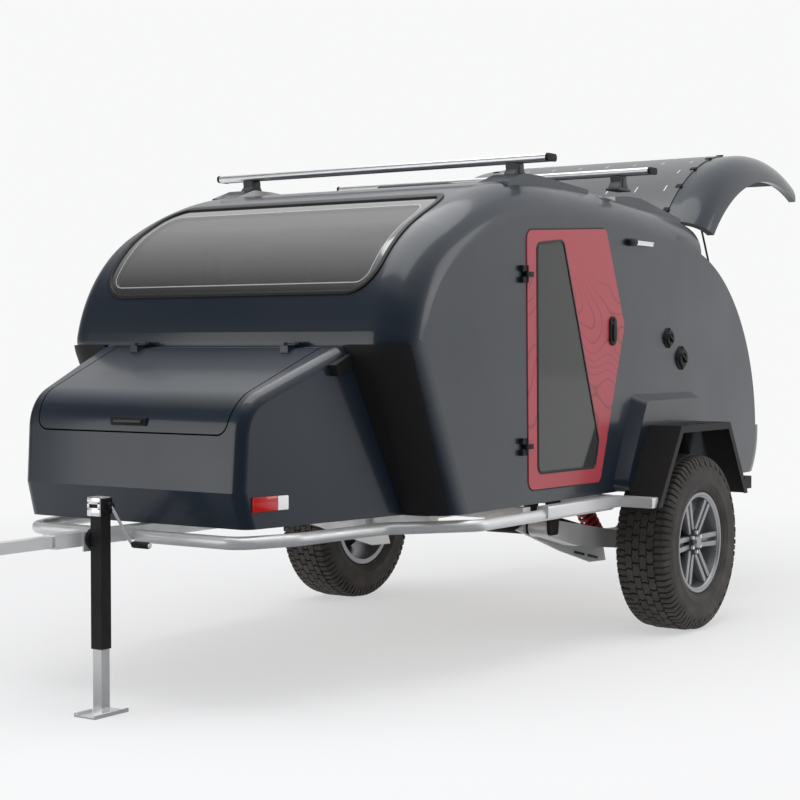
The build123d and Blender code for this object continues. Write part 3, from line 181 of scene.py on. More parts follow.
def extruded(piece, step):
    """Extrudes all of a piece by a step."""
    with editing(piece):
        bpy.ops.mesh.extrude_region_move(TRANSFORM_OT_translate={"value": step})


def outwards(piece):
    """Merges doubles, then turns every face out."""
    with editing(piece):
        bpy.ops.mesh.remove_doubles(threshold=0.00002)
        bpy.ops.mesh.normals_make_consistent(inside=False)


def block(first, second, bevel=0.0, segments=2):
    """A box between two opposite corners, with rounded edges."""
    low = Vector([min(pair) for pair in zip(first, second)])
    high = Vector([max(pair) for pair in zip(first, second)])
    bpy.ops.mesh.primitive_cube_add(size=1, location=(low + high) / 2, scale=high - low)
    piece = bpy.context.object
    settle(piece)
    if bevel:
        rounded_edges(piece, bevel, segments)
    return piece


def side_block(x, y, z, sign, bevel=0.0):
    """A box on one side of the trailer, with x, y and z each given as a pair."""
    return block(at(x[0], y[0] * sign, z[0]), at(x[1], y[1] * sign, z[1]), bevel)


def rod(start, end, radius, sides=24, bevel=0.0):
    """A round bar between two points."""
    start, end = Vector(start), Vector(end)
    way = end - start
    bpy.ops.mesh.primitive_cylinder_add(
        vertices=sides, radius=radius, depth=way.length, location=(start + end) / 2,
        rotation=way.to_track_quat("Z", "Y").to_euler(),
    )
    piece = bpy.context.object
    settle(piece)
    if bevel:
        rounded_edges(piece, bevel, 2)
    return piece


def loop(points, face=False):
    """A closed loop of edges through the points, filled if asked."""
    fill = "NGON" if face else "NOTHING"
    bpy.ops.mesh.primitive_circle_add(vertices=len(points), fill_type=fill)
    piece = bpy.context.object
    for vertex, point in zip(piece.data.vertices, points):
        vertex.co = point
    return piece


def prism(points, low, high, bevel=0.0, segments=2):
    """A solid over an outline of points at `low`, reaching to `high`, both vectors."""
    piece = loop([Vector(point) + Vector(low) for point in points], face=True)
    extruded(piece, Vector(high) - Vector(low))
    outwards(piece)
    if bevel:
        rounded_edges(piece, bevel, segments)
    return piece


def side_prism(points, y_low, y_high, bevel=0.0, segments=2):
    """A solid over an outline of (x, z) points, x measured from the axle."""
    flat = [at(x, 0, z) for x, z in points]
    return prism(flat, (0, y_low, 0), (0, y_high, 0), bevel, segments)


def lathe(centre, axis, profile, steps=64):
    """A closed profile of (radius, along) points, spun round an axis."""
    centre, axis = Vector(centre), Vector(axis).normalized()
    across = axis.orthogonal().normalized()
    piece = loop([centre + across * radius + axis * along for radius, along in profile])
    with editing(piece):
        bpy.ops.mesh.spin(steps=steps, angle=math.tau, center=centre, axis=axis)
    outwards(piece)
    return piece


def cut(piece, kind, test):
    """Deletes the edges or faces that a test picks."""
    with editing(piece):
        bpy.ops.mesh.select_mode(type=kind)
        bpy.ops.mesh.select_all(action="DESELECT")
    for item in piece.data.edges if kind == "EDGE" else piece.data.polygons:
        item.select = test(item)
    bpy.ops.object.mode_set(mode="EDIT")
    bpy.ops.mesh.delete(type=kind)
    bpy.ops.mesh.select_mode(type="VERT")
    bpy.ops.object.mode_set(mode="OBJECT")


def tube(points, radius, closed=False, fine=3):
    """A round cord through the points."""
    piece = loop(points)
    pick(piece)
    if not closed:
        ends = {0, len(points) - 1}
        cut(piece, "EDGE", lambda edge: set(edge.vertices) == ends)
    bpy.ops.object.convert(target="CURVE")
    piece = bpy.context.object
    piece.data.bevel_depth = radius
    piece.data.bevel_resolution = fine
    piece.data.use_fill_caps = True
    bpy.ops.object.convert(target="MESH")
    piece = bpy.context.object
    outwards(piece)
    return piece


def beam(start, end, wide_start, wide_end, deep_start, deep_end, across, bevel=0.0):
    """A tapered bar: `across` points along its width, its depth is square to both."""
    start, end, across = Vector(start), Vector(end), Vector(across).normalized()
    deep = (end - start).cross(across).normalized()
    bpy.ops.mesh.primitive_cube_add(size=2)
    piece = bpy.context.object
    for vertex in piece.data.vertices:
        x, y, z = vertex.co
        base, wide, thick = (end, wide_end, deep_end) if z > 0 else (start, wide_start, deep_start)
        vertex.co = base + across * (x * wide / 2) + deep * (y * thick / 2)
    outwards(piece)
    if bevel:
        rounded_edges(piece, bevel, 2)
    return piece


def rounded(points, corners, steps=7, longest=0.0):
    """Points of a closed outline with its corners rounded; long edges are divided if asked."""
    if not isinstance(corners, (tuple, list)):
        corners = [corners] * len(points)
    result = []
    count = len(points)
    for index, radius in enumerate(corners):
        here = Vector(points[index])
        back = (Vector(points[index - 1]) - here).normalized()
        on = (Vector(points[(index + 1) % count]) - here).normalized()
        half = back.angle(on) / 2
        reach = radius / math.tan(half)
        centre = here + (back + on).normalized() * (radius / math.sin(half))
        first, last = here + back * reach - centre, here + on * reach - centre
        for step in range(steps + 1):
            spoke = first.lerp(last, step / steps).normalized() * radius
            result.append(centre + spoke)
    if longest:
        result = divided(result, longest)
    return [tuple(point) for point in result]


def divided(points, longest):
    """Adds points to a closed outline where an edge is longer than asked."""
    result = []
    for index, point in enumerate(points):
        nxt = points[(index + 1) % len(points)]
        parts = max(1, math.ceil((nxt - point).length / longest))
        for part in range(parts):
            result.append(point.lerp(nxt, part / parts))
    return result


def grown(points, amount):
    """A closed flat outline grown by an amount."""
    points = [Vector(point) for point in points]
    area = sum(a.x * b.y - a.y * b.x for a, b in zip(points, points[1:] + points[:1]))
    turn = 1 if area > 0 else -1
    result = []
    for index, point in enumerate(points):
        before, after = points[index - 1], points[(index + 1) % len(points)]
        way = (after - before).normalized()
        result.append(point + Vector((way.y, -way.x)) * amount * turn)
    return [tuple(point) for point in result]


def flat_ring(inner, outer, place, low, high, bevel=0.0):
    """A flat ring between two outlines with the same number of points."""
    piece = loop([place(point, low) for point in outer])
    extruded(piece, (0, 0, 0))
    for vertex, point in zip(piece.data.vertices[len(outer):], inner):
        vertex.co = place(point, low)
    extruded(piece, place((0, 0), high) - place((0, 0), low))
    outwards(piece)
    if bevel:
        rounded_edges(piece, bevel, 2)
    return piece


def on_side(point, y):
    """An (x, z) outline point at a distance from the middle."""
    return at(point[0], y, point[1])


def upright(x, z, half, low, high):
    """A rectangle of (x, z) points round a middle."""
    return ((x - half, z + low), (x + half, z + low), (x + half, z + high), (x - half, z + high))


def copied(piece):
    """A copy with its own mesh."""
    pick(piece)
    bpy.ops.object.duplicate(linked=False)
    return bpy.context.object


def arrayed(piece, count, centre, axis):
    """Repeats a piece round an axis in equal steps."""
    turn = Matrix.Rotation(math.tau / count, 4, Vector(axis))
    centre = Vector(centre)
    bpy.ops.object.empty_add(location=centre - turn.to_3x3() @ centre)
    guide = bpy.context.object
    guide.rotation_mode = "QUATERNION"
    guide.rotation_quaternion = turn.to_quaternion()
    bpy.context.view_layer.update()
    modified(
        piece, "ARRAY", count=count, use_relative_offset=False, use_object_offset=True,
        offset_object=guide,
    )
    pick(guide)
    bpy.ops.object.delete()
    return piece


def joined(pieces):
    """One object out of several."""
    deselect()
    for piece in pieces:
        piece.select_set(True)
    bpy.context.view_layer.objects.active = pieces[0]
    if len(pieces) > 1:
        bpy.ops.object.join()
    return bpy.context.object


def box_of(name):
    """The low and the high corner of a CAD node."""
    return [Vector(corner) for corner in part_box(name)]


def painted(piece, finish):
    """Gives all faces of a piece one finish."""
    piece.data.materials.clear()
    piece.data.materials.append(FINISH[finish])
    for polygon in piece.data.polygons:
        polygon.material_index = 0
    return piece


def done(name, pieces, finish, body, nodes=(), smooth=35):
    """Names a finished piece, gives it its finish and ties it to its body."""
    piece = joined(pieces) if isinstance(pieces, list) else pieces
    piece.name = name
    piece.data.name = name
    painted(piece, finish)
    pick(piece)
    if smooth:
        bpy.ops.object.shade_smooth_by_angle(angle=math.radians(smooth))
    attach(piece, body)
    if nodes:
        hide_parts(*nodes)
    deselect()
    return piece


def dressed(finish, *names):
    """Gives CAD nodes a new finish."""
    for name in names:
        painted(NODES[name], finish)


def second_finish(name, finish, test):
    """Gives a CAD node a second finish on the faces that a test picks."""
    node = NODES[name]
    node.data.materials.append(FINISH[finish])
    for polygon in node.data.polygons:
        if test(polygon):
            polygon.material_index = 1


def lined(name, finish):
    """Gives the faces of a shell that look into the cabin a second finish."""
    node = NODES[name]
    second_finish(name, finish, lambda face: node.ray_cast(
        face.center + face.normal * 0.002, face.normal, distance=4)[0])


# Finishes


def plugged(tree, node, values):
    """Feeds a node's inputs, by name or number, with sockets, numbers or colours."""
    for key, value in values.items():
        if isinstance(value, (int, float)):
            node.inputs[key].default_value = value
        elif isinstance(value, tuple):
            node.inputs[key].default_value = (*value, 1)
        elif value is not None:
            tree.links.new(value, node.inputs[key])
    return node


def new_group(name, inputs, output):
    """A node group with the defaults of its inputs, None for a colour, and one output."""
    group = bpy.data.node_groups.new(name, "ShaderNodeTree")
    for key, value in inputs.items():
        kind = "NodeSocketColor" if value is None else "NodeSocketFloat"
        item = group.interface.new_socket(name=key, in_out="INPUT", socket_type=kind)
        if value is not None:
            item.default_value = value
    kind = "NodeSocketColor" if output == "Colour" else "NodeSocketFloat"
    group.interface.new_socket(name=output, in_out="OUTPUT", socket_type=kind)
    return group, group.nodes.new("NodeGroupInput").outputs, group.nodes.new("NodeGroupOutput").inputs[0]


def calc(tree, operation, first, second=None, clamp=False):
    """A Math node fed by sockets or numbers; gives its output socket."""
    node = tree.nodes.new("ShaderNodeMath")
    node.operation = operation
    node.use_clamp = clamp
    return plugged(tree, node, {0: first, 1: second}).outputs[0]


def mixed(tree, factor, first, second):
    """A colour mix; gives its output socket."""
    node = tree.nodes.new("ShaderNodeMix")
    node.data_type = "RGBA"
    return plugged(tree, node, {0: factor, 6: first, 7: second}).outputs[2]


def noise(tree, scale, detail=3, rough=0.5):
    """Noise over the place on the trailer; gives its output socket."""
    node = tree.nodes.new("ShaderNodeTexNoise")
    values = {"Vector": place_socket(tree), "Scale": scale, "Detail": detail, "Roughness": rough}
    return plugged(tree, node, values).outputs["Fac"]


def ramped(tree, value, low, high, least=0.0, most=1.0):
    """Maps low..high to least..most, clamped."""
    node = tree.nodes.new("ShaderNodeMapRange")
    values = {"Value": value, "From Min": low, "From Max": high, "To Min": least, "To Max": most}
    return plugged(tree, node, values).outputs["Result"]


def place_socket(tree):
    return tree.nodes.new("ShaderNodeTexCoord").outputs["Object"]


def place_parts(tree):
    """The place on the trailer as X, Y and Z sockets."""
    return plugged(tree, tree.nodes.new("ShaderNodeSeparateXYZ"), {0: place_socket(tree)}).outputs


def grain_group():
    """Fine moulded or sprayed grain, as a height."""
    group, given, result = new_group("Surface grain", {"Scale": 400.0}, "Height")
    group.links.new(noise(group, given["Scale"], 2), result)
    return group


def dust_group():
    """A colour with light dust on it, which gathers low on the trailer."""
    group, given, result = new_group("Road dust", {
        "Colour": None, "Dust colour": None, "Top height": 0.9, "Amount": 0.2, "Scale": 6.0}, "Colour")
    low = ramped(group, place_parts(group)["Z"], given["Top height"], 0.0)
    patches = ramped(group, noise(group, given["Scale"], 6, 0.6), 0.35, 0.75)
    mask = calc(group, "MULTIPLY", low, patches)
    mask = calc(group, "MULTIPLY", mask, given["Amount"], clamp=True)
    group.links.new(mixed(group, mask, given["Colour"], given["Dust colour"]), result)
    return group


def wear_group():
    """Slow cloudy change of a finish, as a roughness."""
    group, given, result = new_group("Finish variation", {"Scale": 3.0, "Low": 0.3, "High": 0.4}, "Roughness")
    cloud = noise(group, given["Scale"], 4)
    group.links.new(ramped(group, cloud, 0.3, 0.7, given["Low"], given["High"]), result)
    return group


def contour_group():
    """Thin wandering lines at equal steps of a soft height field, as a mask."""
    group, given, result = new_group(
        "Contour lines", {"Scale": 1.6, "Steps": 14.0, "Line width": 0.06}, "Mask")
    field = noise(group, given["Scale"], 1, 0.35)
    part = calc(group, "FRACT", calc(group, "MULTIPLY", field, given["Steps"]))
    off = calc(group, "ABSOLUTE", calc(group, "SUBTRACT", part, 0.5))
    group.links.new(ramped(group, off, given["Line width"], 0.0), result)
    return group


def rim_group():
    """How deep a point (across, up) lies inside a slanted, rounded window outline."""
    group, given, result = new_group("Window depth", {
        "Half width": 0.69, "Spread": 0.05, "Middle height": 1.7, "Half height": 0.2, "Corner": 0.09,
    }, "Depth")
    place, corner = place_parts(group), given["Corner"]
    up = calc(group, "SUBTRACT", place["Z"], given["Middle height"])
    wide = calc(group, "ADD", given["Half width"], calc(group, "MULTIPLY", up, given["Spread"]))
    squares = []
    for way, half in ((place["Y"], wide), (up, given["Half height"])):
        inner = calc(group, "SUBTRACT", half, corner)
        past = calc(group, "SUBTRACT", calc(group, "ABSOLUTE", way), inner)
        past = calc(group, "MAXIMUM", past, 0.0)
        squares.append(calc(group, "MULTIPLY", past, past))
    out = calc(group, "SQRT", calc(group, "ADD", *squares))
    group.links.new(calc(group, "SUBTRACT", corner, out), result)
    return group


GROUPS = {}


def group_node(material, key, **values):
    """Places a shared effect in a material with its own values; gives its output socket."""
    makers = {
        "grain": grain_group, "dust": dust_group, "wear": wear_group,
        "contour": contour_group, "window": rim_group,
    }
    if key not in GROUPS:
        GROUPS[key] = makers[key]()
    node = material.node_tree.nodes.new("ShaderNodeGroup")
    node.node_tree = GROUPS[key]
    values = {name.replace("_", " "): value for name, value in values.items()}
    return plugged(material.node_tree, node, values).outputs[0]


def shader_of(material):
    return material.node_tree.nodes["Principled BSDF"]


def fed(material, **values):
    """Feeds inputs of a finish's shader, with _ for each space in their names."""
    values = {name.replace("_", " "): value for name, value in values.items()}
    plugged(material.node_tree, shader_of(material), values)
    return material


def finish_of(name, colour, roughness, metallic=0.0, coat=0.0, coat_roughness=0.05, specular=0.5):
    """A new material with plain values on its shader."""
    material = bpy.data.materials.new(name)
    material.use_nodes = True
    return fed(material, Base_Color=tuple(colour), Roughness=roughness, Metallic=metallic, Coat_Weight=coat,
               Coat_Roughness=coat_roughness, Specular_IOR_Level=specular)


def grained(material, scale, strength, distance=0.001):
    """Adds fine grain to a finish."""
    bump = material.node_tree.nodes.new("ShaderNodeBump")
    height = group_node(material, "grain", Scale=scale)
    plugged(material.node_tree, bump, {"Strength": strength, "Distance": distance, "Height": height})
    return fed(material, Normal=bump.outputs["Normal"])


def worn(material, low, high, scale=3.0):
    """Lets the gloss of a finish vary slowly."""
    return fed(material, Roughness=group_node(material, "wear", Scale=scale, Low=low, High=high))


def dusted(material, amount, top, dust=(0.20, 0.17, 0.14), scale=6.0):
    """Adds road dust low down."""
    colour = tuple(shader_of(material).inputs["Base Color"].default_value)[:3]
    return fed(material, Base_Color=group_node(
        material, "dust", Colour=colour, Dust_colour=dust, Top_height=top, Amount=amount, Scale=scale))


def body_finish(colours):
    paint = finish_of("Body paint", colours.body, 0.36, coat=0.55, coat_roughness=0.12, specular=0.35)
    return worn(paint, 0.32, 0.42)


def door_finish(colours):
    """Door paint with fine contour lines drawn behind the pane, fading out above and below."""
    material = finish_of("Door paint", colours.door, 0.40, coat=0.3, coat_roughness=0.15, specular=0.35)
    tree = material.node_tree
    lines = group_node(material, "contour", Scale=1.9, Steps=28.0, Line_width=0.11)
    height = place_parts(tree)["Z"]
    shown = calc(tree, "MULTIPLY", ramped(tree, height, 1.66, 1.50), ramped(tree, height, 0.86, 0.98))
    mask = calc(tree, "MULTIPLY", lines, shown)
    return fed(material, Base_Color=mixed(tree, mask, tuple(colours.door), tuple(colours.door_line)))


def window_finish():
    """Tinted glass with a darker printed border and a thin light line inside it."""
    material = glass_finish("Window glass", (0.06, 0.06, 0.06), 0.55)
    depth = group_node(material, "window", Half_width=0.690, Spread=0.0506, Middle_height=1.7075,
                       Half_height=0.1975, Corner=0.09)
    tree = material.node_tree
    border = ramped(tree, depth, 0.0372, 0.0360)
    off_line = calc(tree, "ABSOLUTE", calc(tree, "SUBTRACT", depth, 0.0390))
    line = calc(tree, "LESS_THAN", off_line, 0.0020)
    colour = mixed(tree, border, (0.06, 0.06, 0.06), (0.03, 0.03, 0.031))
    colour = mixed(tree, line, colour, (0.50, 0.51, 0.52))
    cover = calc(tree, "ADD", calc(tree, "MULTIPLY", border, 0.35), 0.55)
    cover = calc(tree, "MAXIMUM", cover, calc(tree, "MULTIPLY", line, 0.75))
    return fed(material, Base_Color=colour, Alpha=cover)


def glass_finish(name, colour, cover, shine=1.0):
    """Tinted glass that lets light through by an even share."""
    material = finish_of(name, colour, 0.05, coat=shine, coat_roughness=0.03, specular=shine)
    return fed(material, Coat_IOR=1.5 + 0.5 * shine, Alpha=cover)


def cell_finish(colours):
    """Dark laminate with short light ticks where the cells join."""
    material = finish_of("Solar laminate", colours.solar, 0.38, coat=0.25, coat_roughness=0.2)
    tree = material.node_tree
    place = place_parts(tree)
    masks = []
    for name, pitch, shift, half in (("X", 0.155, 0.02, 0.13), ("Y", 0.163, 0.0, 0.018)):
        run = calc(tree, "MULTIPLY", calc(tree, "ADD", place[name], shift), 1 / pitch)
        off = calc(tree, "ABSOLUTE", calc(tree, "SUBTRACT", calc(tree, "FRACT", run), 0.5))
        masks.append(calc(tree, "LESS_THAN", off, half))
    ticks = calc(tree, "MULTIPLY", *masks)
    return fed(material, Base_Color=mixed(tree, ticks, tuple(colours.solar), (0.62, 0.63, 0.64)))


def make_finishes(colours):
    """Every finish by name."""
    trim = tuple(colours.trim)
    return {
        "body": body_finish(colours),
        "door": door_finish(colours),
        "window": window_finish(),
        "pane": glass_finish("Inner door glass", (0.10, 0.10, 0.10), 0.5),
        "outer_pane": glass_finish("Outer door glass", (0.05, 0.052, 0.05), 0.80, 0.3),
        "lining": grained(finish_of("Cabin lining", (0.62, 0.60, 0.57), 0.8), 300, 0.1),
        "trim": grained(finish_of("Moulded trim", trim, 0.55, specular=0.22), 700, 0.25, 0.0006),
        "seal": finish_of("Rubber seal", (0.010, 0.010, 0.011), 0.5),
        "steel_black": dusted(
            grained(finish_of("Powder coat", (0.010, 0.010, 0.011), 0.5, specular=0.2), 900, 0.15, 0.0005),
            0.12, 0.9,
        ),
        "zinc": worn(
            finish_of("Galvanised steel", (0.72, 0.725, 0.73), 0.40, metallic=0.6), 0.32, 0.46, 14
        ),
        "bright": finish_of("Bright steel", (0.80, 0.805, 0.81), 0.22, metallic=0.55),
        "alloy": worn(finish_of("Wheel alloy", (0.33, 0.335, 0.345), 0.36, metallic=0.7), 0.3, 0.42, 10),
        "aluminium": finish_of("Anodised bar", (0.78, 0.79, 0.80), 0.34, metallic=0.9),
        "tyre": dusted(
            grained(finish_of("Tyre rubber", (0.030, 0.027, 0.025), 0.7, specular=0.45), 500, 0.3), 0.6, 1.4,
            (0.12, 0.10, 0.085), 9.0,
        ),
        "red": finish_of("Spring paint", (0.45, 0.015, 0.015), 0.35, coat=0.4),
        "cell": cell_finish(colours),
        "liner": grained(finish_of("Hatch liner", (0.045, 0.046, 0.048), 0.6), 500, 0.2),
        "tower": grained(finish_of("Grey moulding", (0.045, 0.046, 0.048), 0.5), 500, 0.2),
        "board": finish_of("Birch board", (0.58, 0.45, 0.31), 0.5),
        "cloth": finish_of("Bed cover", (0.42, 0.43, 0.45), 0.9),
        "lamp_red": finish_of("Red lens", (0.45, 0.01, 0.01), 0.12, coat=0.5),
        "lamp_white": finish_of("Light strip", (0.85, 0.86, 0.88), 0.25),
        "grip": finish_of("Grip rubber", (0.012, 0.012, 0.012), 0.6),
    }


FINISH = {}


# Pieces


def build_shell(sizes):
    """Body, nose box and lid in body paint, with the cabin lined."""
    walls = ("body_wrap", "tail_panel", "side_wall_left", "side_wall_right")
    dressed("body", *walls, "arch_mouldings", "nose_box", "nose_lid")
    for name in walls:
        lined(name, "lining")
    dressed("trim", "corner_guards", "wheel_tubs")


def build_window(sizes):
    """The nose window's glass and the gasket round it."""
    dressed("window", "front_window")
    path = rounded(WINDOW, WINDOW_CORNERS, 8, 0.03)
    target = joined([copied(NODES["front_window"]), copied(NODES["body_wrap"])])
    far = CAD_HIGH.x

    def on_front(point, x):
        return Vector((x, point[0], point[1]))

    band = flat_ring(grown(path, -sizes.gasket_width / 2), grown(path, sizes.gasket_width / 2),
                     on_front, far, far + 0.01)
    cut(band, "FACE", lambda face: face.center.x > far + 0.009 or abs(face.normal.x) < 0.5)
    for vertex in band.data.vertices:
        hit, place, _, _ = target.ray_cast(vertex.co, Vector((-1, 0, 0)))
        if not hit:
            raise RuntimeError("The window gasket misses the nose.")
        vertex.co = place
    outwards(band)
    if sum(polygon.normal.x for polygon in band.data.polygons) < 0:
        band.data.flip_normals()
    modified(band, "SOLIDIFY", thickness=0.009, offset=0.6)
    rounded_edges(band, 0.003, 2)
    pick(target)
    bpy.ops.object.delete()
    done("window_gasket", band, "seal", "trailer")


def build_doors(sizes):
    """Door leaves, panes, seals, latches and hinge covers."""
    outline = rounded(DOOR, DOOR_CORNER, 6)
    pane = rounded(PANE, PANE_CORNER, 6)
    x, z = DOOR_LATCH
    plate = rounded(upright(x, z, 0.031, -0.064, 0.064), 0.0305, 10)
    paddle = rounded(upright(x, z, 0.017, -0.046, 0.034), 0.0165, 8)
    knuckle_x = at(DOOR_KNUCKLE_X, 0, 0).x
    for side, sign in SIDES:
        body = f"door_{side}"
        dressed("door", body)
        second_finish(body, "trim", lambda face: face.center.x > knuckle_x)
        dressed("pane", f"door_pane_{side}")
        seal = tube([at(px, 0.857 * sign, pz) for px, pz in grown(outline, -0.003)], 0.0036, True, 2)
        done(f"door_seal_{side}", seal, "seal", "trailer")
        frame_ring = flat_ring(grown(pane, -0.004), grown(pane, 0.006), on_side,
                               0.8500 * sign, 0.8665 * sign, 0.003)
        bead = tube([at(px, 0.8655 * sign, pz) for px, pz in grown(pane, -0.0035)], 0.0022, True, 2)
        done(f"pane_gasket_{side}", [frame_ring, bead], "seal", body)
        glass = side_prism(grown(pane, -0.0045), 0.8600 * sign, 0.8640 * sign, 0.0008, 1)
        done(f"outer_pane_{side}", glass, "outer_pane", body)
        base = side_prism(plate, 0.8635 * sign, 0.873 * sign, 0.003, 3)
        pull = side_prism(paddle, 0.870 * sign, 0.8815 * sign, 0.004, 3)
        lock = rod(at(x, 0.870 * sign, z + 0.048), at(x, 0.877 * sign, z + 0.048), 0.0075, 20, 0.001)
        done(f"door_latch_{side}", [base, pull, lock], "trim", body, [f"door_handle_{side}"])
        covers = [
            side_block((1.222, 1.2700), (0.8645, 0.8790), (height - 0.0110, height + 0.0110), sign, 0.002)
            for height in DOOR_HINGE_HEIGHTS
        ]
        done(f"hinge_leaves_{side}", covers, "trim", body)


def hatch_point(share, sink, y):
    """A point of the open hatch: a share of the way from its front to its foot, sunk under its skin."""
    radius = TAIL_RADIUS - sink
    first = math.acos((HATCH_FRONT_X - TAIL_CENTRE[0]) / radius)
    last = math.pi - math.asin((HATCH_FOOT_Z - TAIL_CENTRE[1]) / radius)
    turn = first + (last - first) * share
    dx = TAIL_CENTRE[0] + radius * math.cos(turn) - HATCH_HINGE[0]
    dz = TAIL_CENTRE[1] + radius * math.sin(turn) - HATCH_HINGE[1]
    x = HATCH_HINGE[0] + dx * math.cos(HATCH_OPEN) + dz * math.sin(HATCH_OPEN)
    z = HATCH_HINGE[1] - dx * math.sin(HATCH_OPEN) + dz * math.cos(HATCH_OPEN)
    return at(x, y, z)


def hatch_line(first, last, sink, y, count=24):
    """Points along the open hatch at a place across it."""
    return [hatch_point(first + (last - first) * i / count, sink, y) for i in range(count + 1)]


def build_hatch(sizes):
    """Hatch shell, liner with its ribs, solar panel with its clips, and struts."""
    dressed("body", "hatch_shell")
    dressed("liner", "hatch_liner")
    dressed("cell", "solar_panel")
    ribs = [tube(hatch_line(0.10, 0.90, 0.038, y), 0.011, fine=2) for y in (-0.42, 0.0, 0.42)]
    ribs.append(tube([hatch_point(0.90, 0.038, y) for y in (-0.62, -0.3, 0.3, 0.62)], 0.011, fine=2))
    done("hatch_ribs", ribs, "liner", "hatch")
    clips = []
    for share in (0.06, 0.20, 0.34, 0.48, 0.585):
        for sign in (-1, 1):
            ends = [hatch_point(share + step, -0.0055, 0.640 * sign) for step in (-0.010, 0.010)]
            clips.append(beam(*ends, 0.030, 0.030, 0.007, 0.007, ACROSS, 0.0015))
    done("panel_clips", clips, "trim", "hatch")
    for side, _ in SIDES:
        dressed("steel_black", f"strut_barrel_{side}")
        dressed("grip", f"strut_rod_{side}")


def bar_tower(x, z, sign):
    """A foot of a crossbar: a waisted tower on a soft pad, leaning forward under the bar."""
    y = BAR_TOWER_Y * sign
    base = z - 0.078
    view = rounded((
        (x - 0.052, base), (x + 0.058, base), (x + 0.046, base + 0.020), (x + 0.030, base + 0.036),
        (x + 0.036, z - 0.014), (x - 0.028, z - 0.014), (x - 0.030, base + 0.036),
    ), 0.006, 3)
    tower = side_prism(view, y - 0.027, y + 0.027, 0.006, 3)
    pad = block(at(x - 0.060, y - 0.034, base - 0.006), at(x + 0.066, y + 0.034, base + 0.006), 0.004)
    cover = block(at(x - 0.014, y + sign * 0.027 - 0.004, base + 0.012),
                  at(x + 0.016, y + sign * 0.027 + 0.004, z - 0.028), 0.003)
    return [tower, pad, cover]


def build_roof(sizes):
    """Crossbars, their towers and the vent."""
    low, high = box_of("crossbars")
    bars, ends, strips, towers = [], [], [], []
    for x, z in CROSSBARS:
        section = rounded(upright(x, z, 0.040, -0.014, 0.016), 0.0125, 6)
        bars.append(side_prism(section, low.y + 0.012, high.y - 0.012))
        for y_low, y_high in ((low.y, low.y + 0.014), (high.y - 0.014, high.y)):
            ends.append(side_prism(grown(section, 0.0012), y_low, y_high, 0.003, 2))
        strips.append(block(at(x - 0.012, low.y + 0.02, z - 0.0152), at(x + 0.012, high.y - 0.02, z - 0.010)))
        for sign in (-1, 1):
            towers += bar_tower(x, z, sign)
    done("bar_profiles", bars, "aluminium", "trailer", ["crossbars"])
    done("bar_ends", ends, "trim", "trailer")
    done("bar_strips", strips, "seal", "trailer")
    done("bar_towers", towers, "tower", "trailer", ["bar_feet"])
    dressed("trim", "vent_base")
    low, high = box_of("vent_lid")
    y_low, y_high = low.y + 0.136, high.y - 0.136
    lid = block(low, (high.x - 0.012, high.y, high.z - 0.006), 0.016, 4)
    ridge = block(low + Vector((0.05, 0.05, 0.01)), high - Vector((0.062, 0.05, 0)), 0.010, 3)
    knuckle = rod((high.x - 0.006, y_low, low.z + 0.006), (high.x - 0.006, y_high, low.z + 0.006), 0.006, 16)
    tab = block((high.x - 0.02, y_low, low.z + 0.001), (high.x - 0.004, y_high, low.z + 0.010))
    done("vent_cover", [lid, ridge, knuckle, tab], "tower", "vent_lid", ["vent_lid"])


def wheel_point(turn, radius, along):
    """A point on the left wheel: a turn from straight up, a radius and a place along the axle."""
    return WHEEL + Vector((math.sin(turn) * radius, along, math.cos(turn) * radius))


def wheel_run(turn):
    """The way that the tread runs at a turn."""
    return Vector((math.cos(turn), 0, -math.sin(turn)))


def tread_block(outline, turn, top, deep, bevel):
    """A tread block: an outline of (run, along) points laid on the tread at a turn."""
    out = wheel_point(turn, 1, 0) - WHEEL
    run = wheel_run(turn)
    points = [WHEEL + out * (top - deep) + run * r + Vector((0, a, 0)) for r, a in outline]
    return prism(points, (0, 0, 0), out * deep, bevel, 1)


def shoulder_block(turn, wide, reach, sign):
    """A lug that wraps from the tread down onto the side."""
    edge, half = 0.113, 0.135
    section = (
        (TYRE_R - 0.020, 0.070), (TYRE_R - 0.003, 0.071), (TYRE_R - 0.006, edge - 0.004),
        (TYRE_R - 0.014, edge + 0.006), (TYRE_R - 0.030, half - 0.009), (TYRE_R - reach, half + 0.0005),
        (TYRE_R - reach, half - 0.012), (TYRE_R - 0.030, 0.100),
    )
    run = wheel_run(turn) * wide
    points = [wheel_point(turn, radius, along * sign) - run / 2 for radius, along in section]
    return prism(points, (0, 0, 0), run, 0.0022, 1)


def tyre_tread(sizes):
    """One pitch of tread, repeated round the left wheel."""
    count = sizes.tread_pitches
    pitch = math.tau * TYRE_R / count
    step = math.tau / count
    deep = 0.012
    long, wide = pitch * 0.44, 0.0155
    blocks = []
    for row, along in enumerate((-0.0525, -0.0175, 0.0175, 0.0525)):
        flip = 1 if row % 2 else -1
        outline = [
            (-long, -wide - 0.003), (-long * 0.25, -wide + 0.002), (long * 0.3, -wide - 0.004),
            (long, -wide + 0.002), (long + 0.004, 0.0), (long - 0.001, wide - 0.002),
            (long * 0.25, wide + 0.004), (-long * 0.3, wide - 0.002), (-long, wide + 0.003),
            (-long + 0.004, 0.0),
        ]
        outline = [(run * flip, along + a) for run, a in outline]
        blocks.append(tread_block(outline, step * (row % 2) / 2, TYRE_R, deep, 0.0016))
    for sign in (-1, 1):
        shift = step * (0.25 if sign > 0 else 0.6)
        blocks.append(shoulder_block(shift - step * 0.23, pitch * 0.36, 0.068, sign))
        blocks.append(shoulder_block(shift + step * 0.24, pitch * 0.34, 0.050, sign))
    return arrayed(joined(blocks), count, WHEEL, ACROSS)


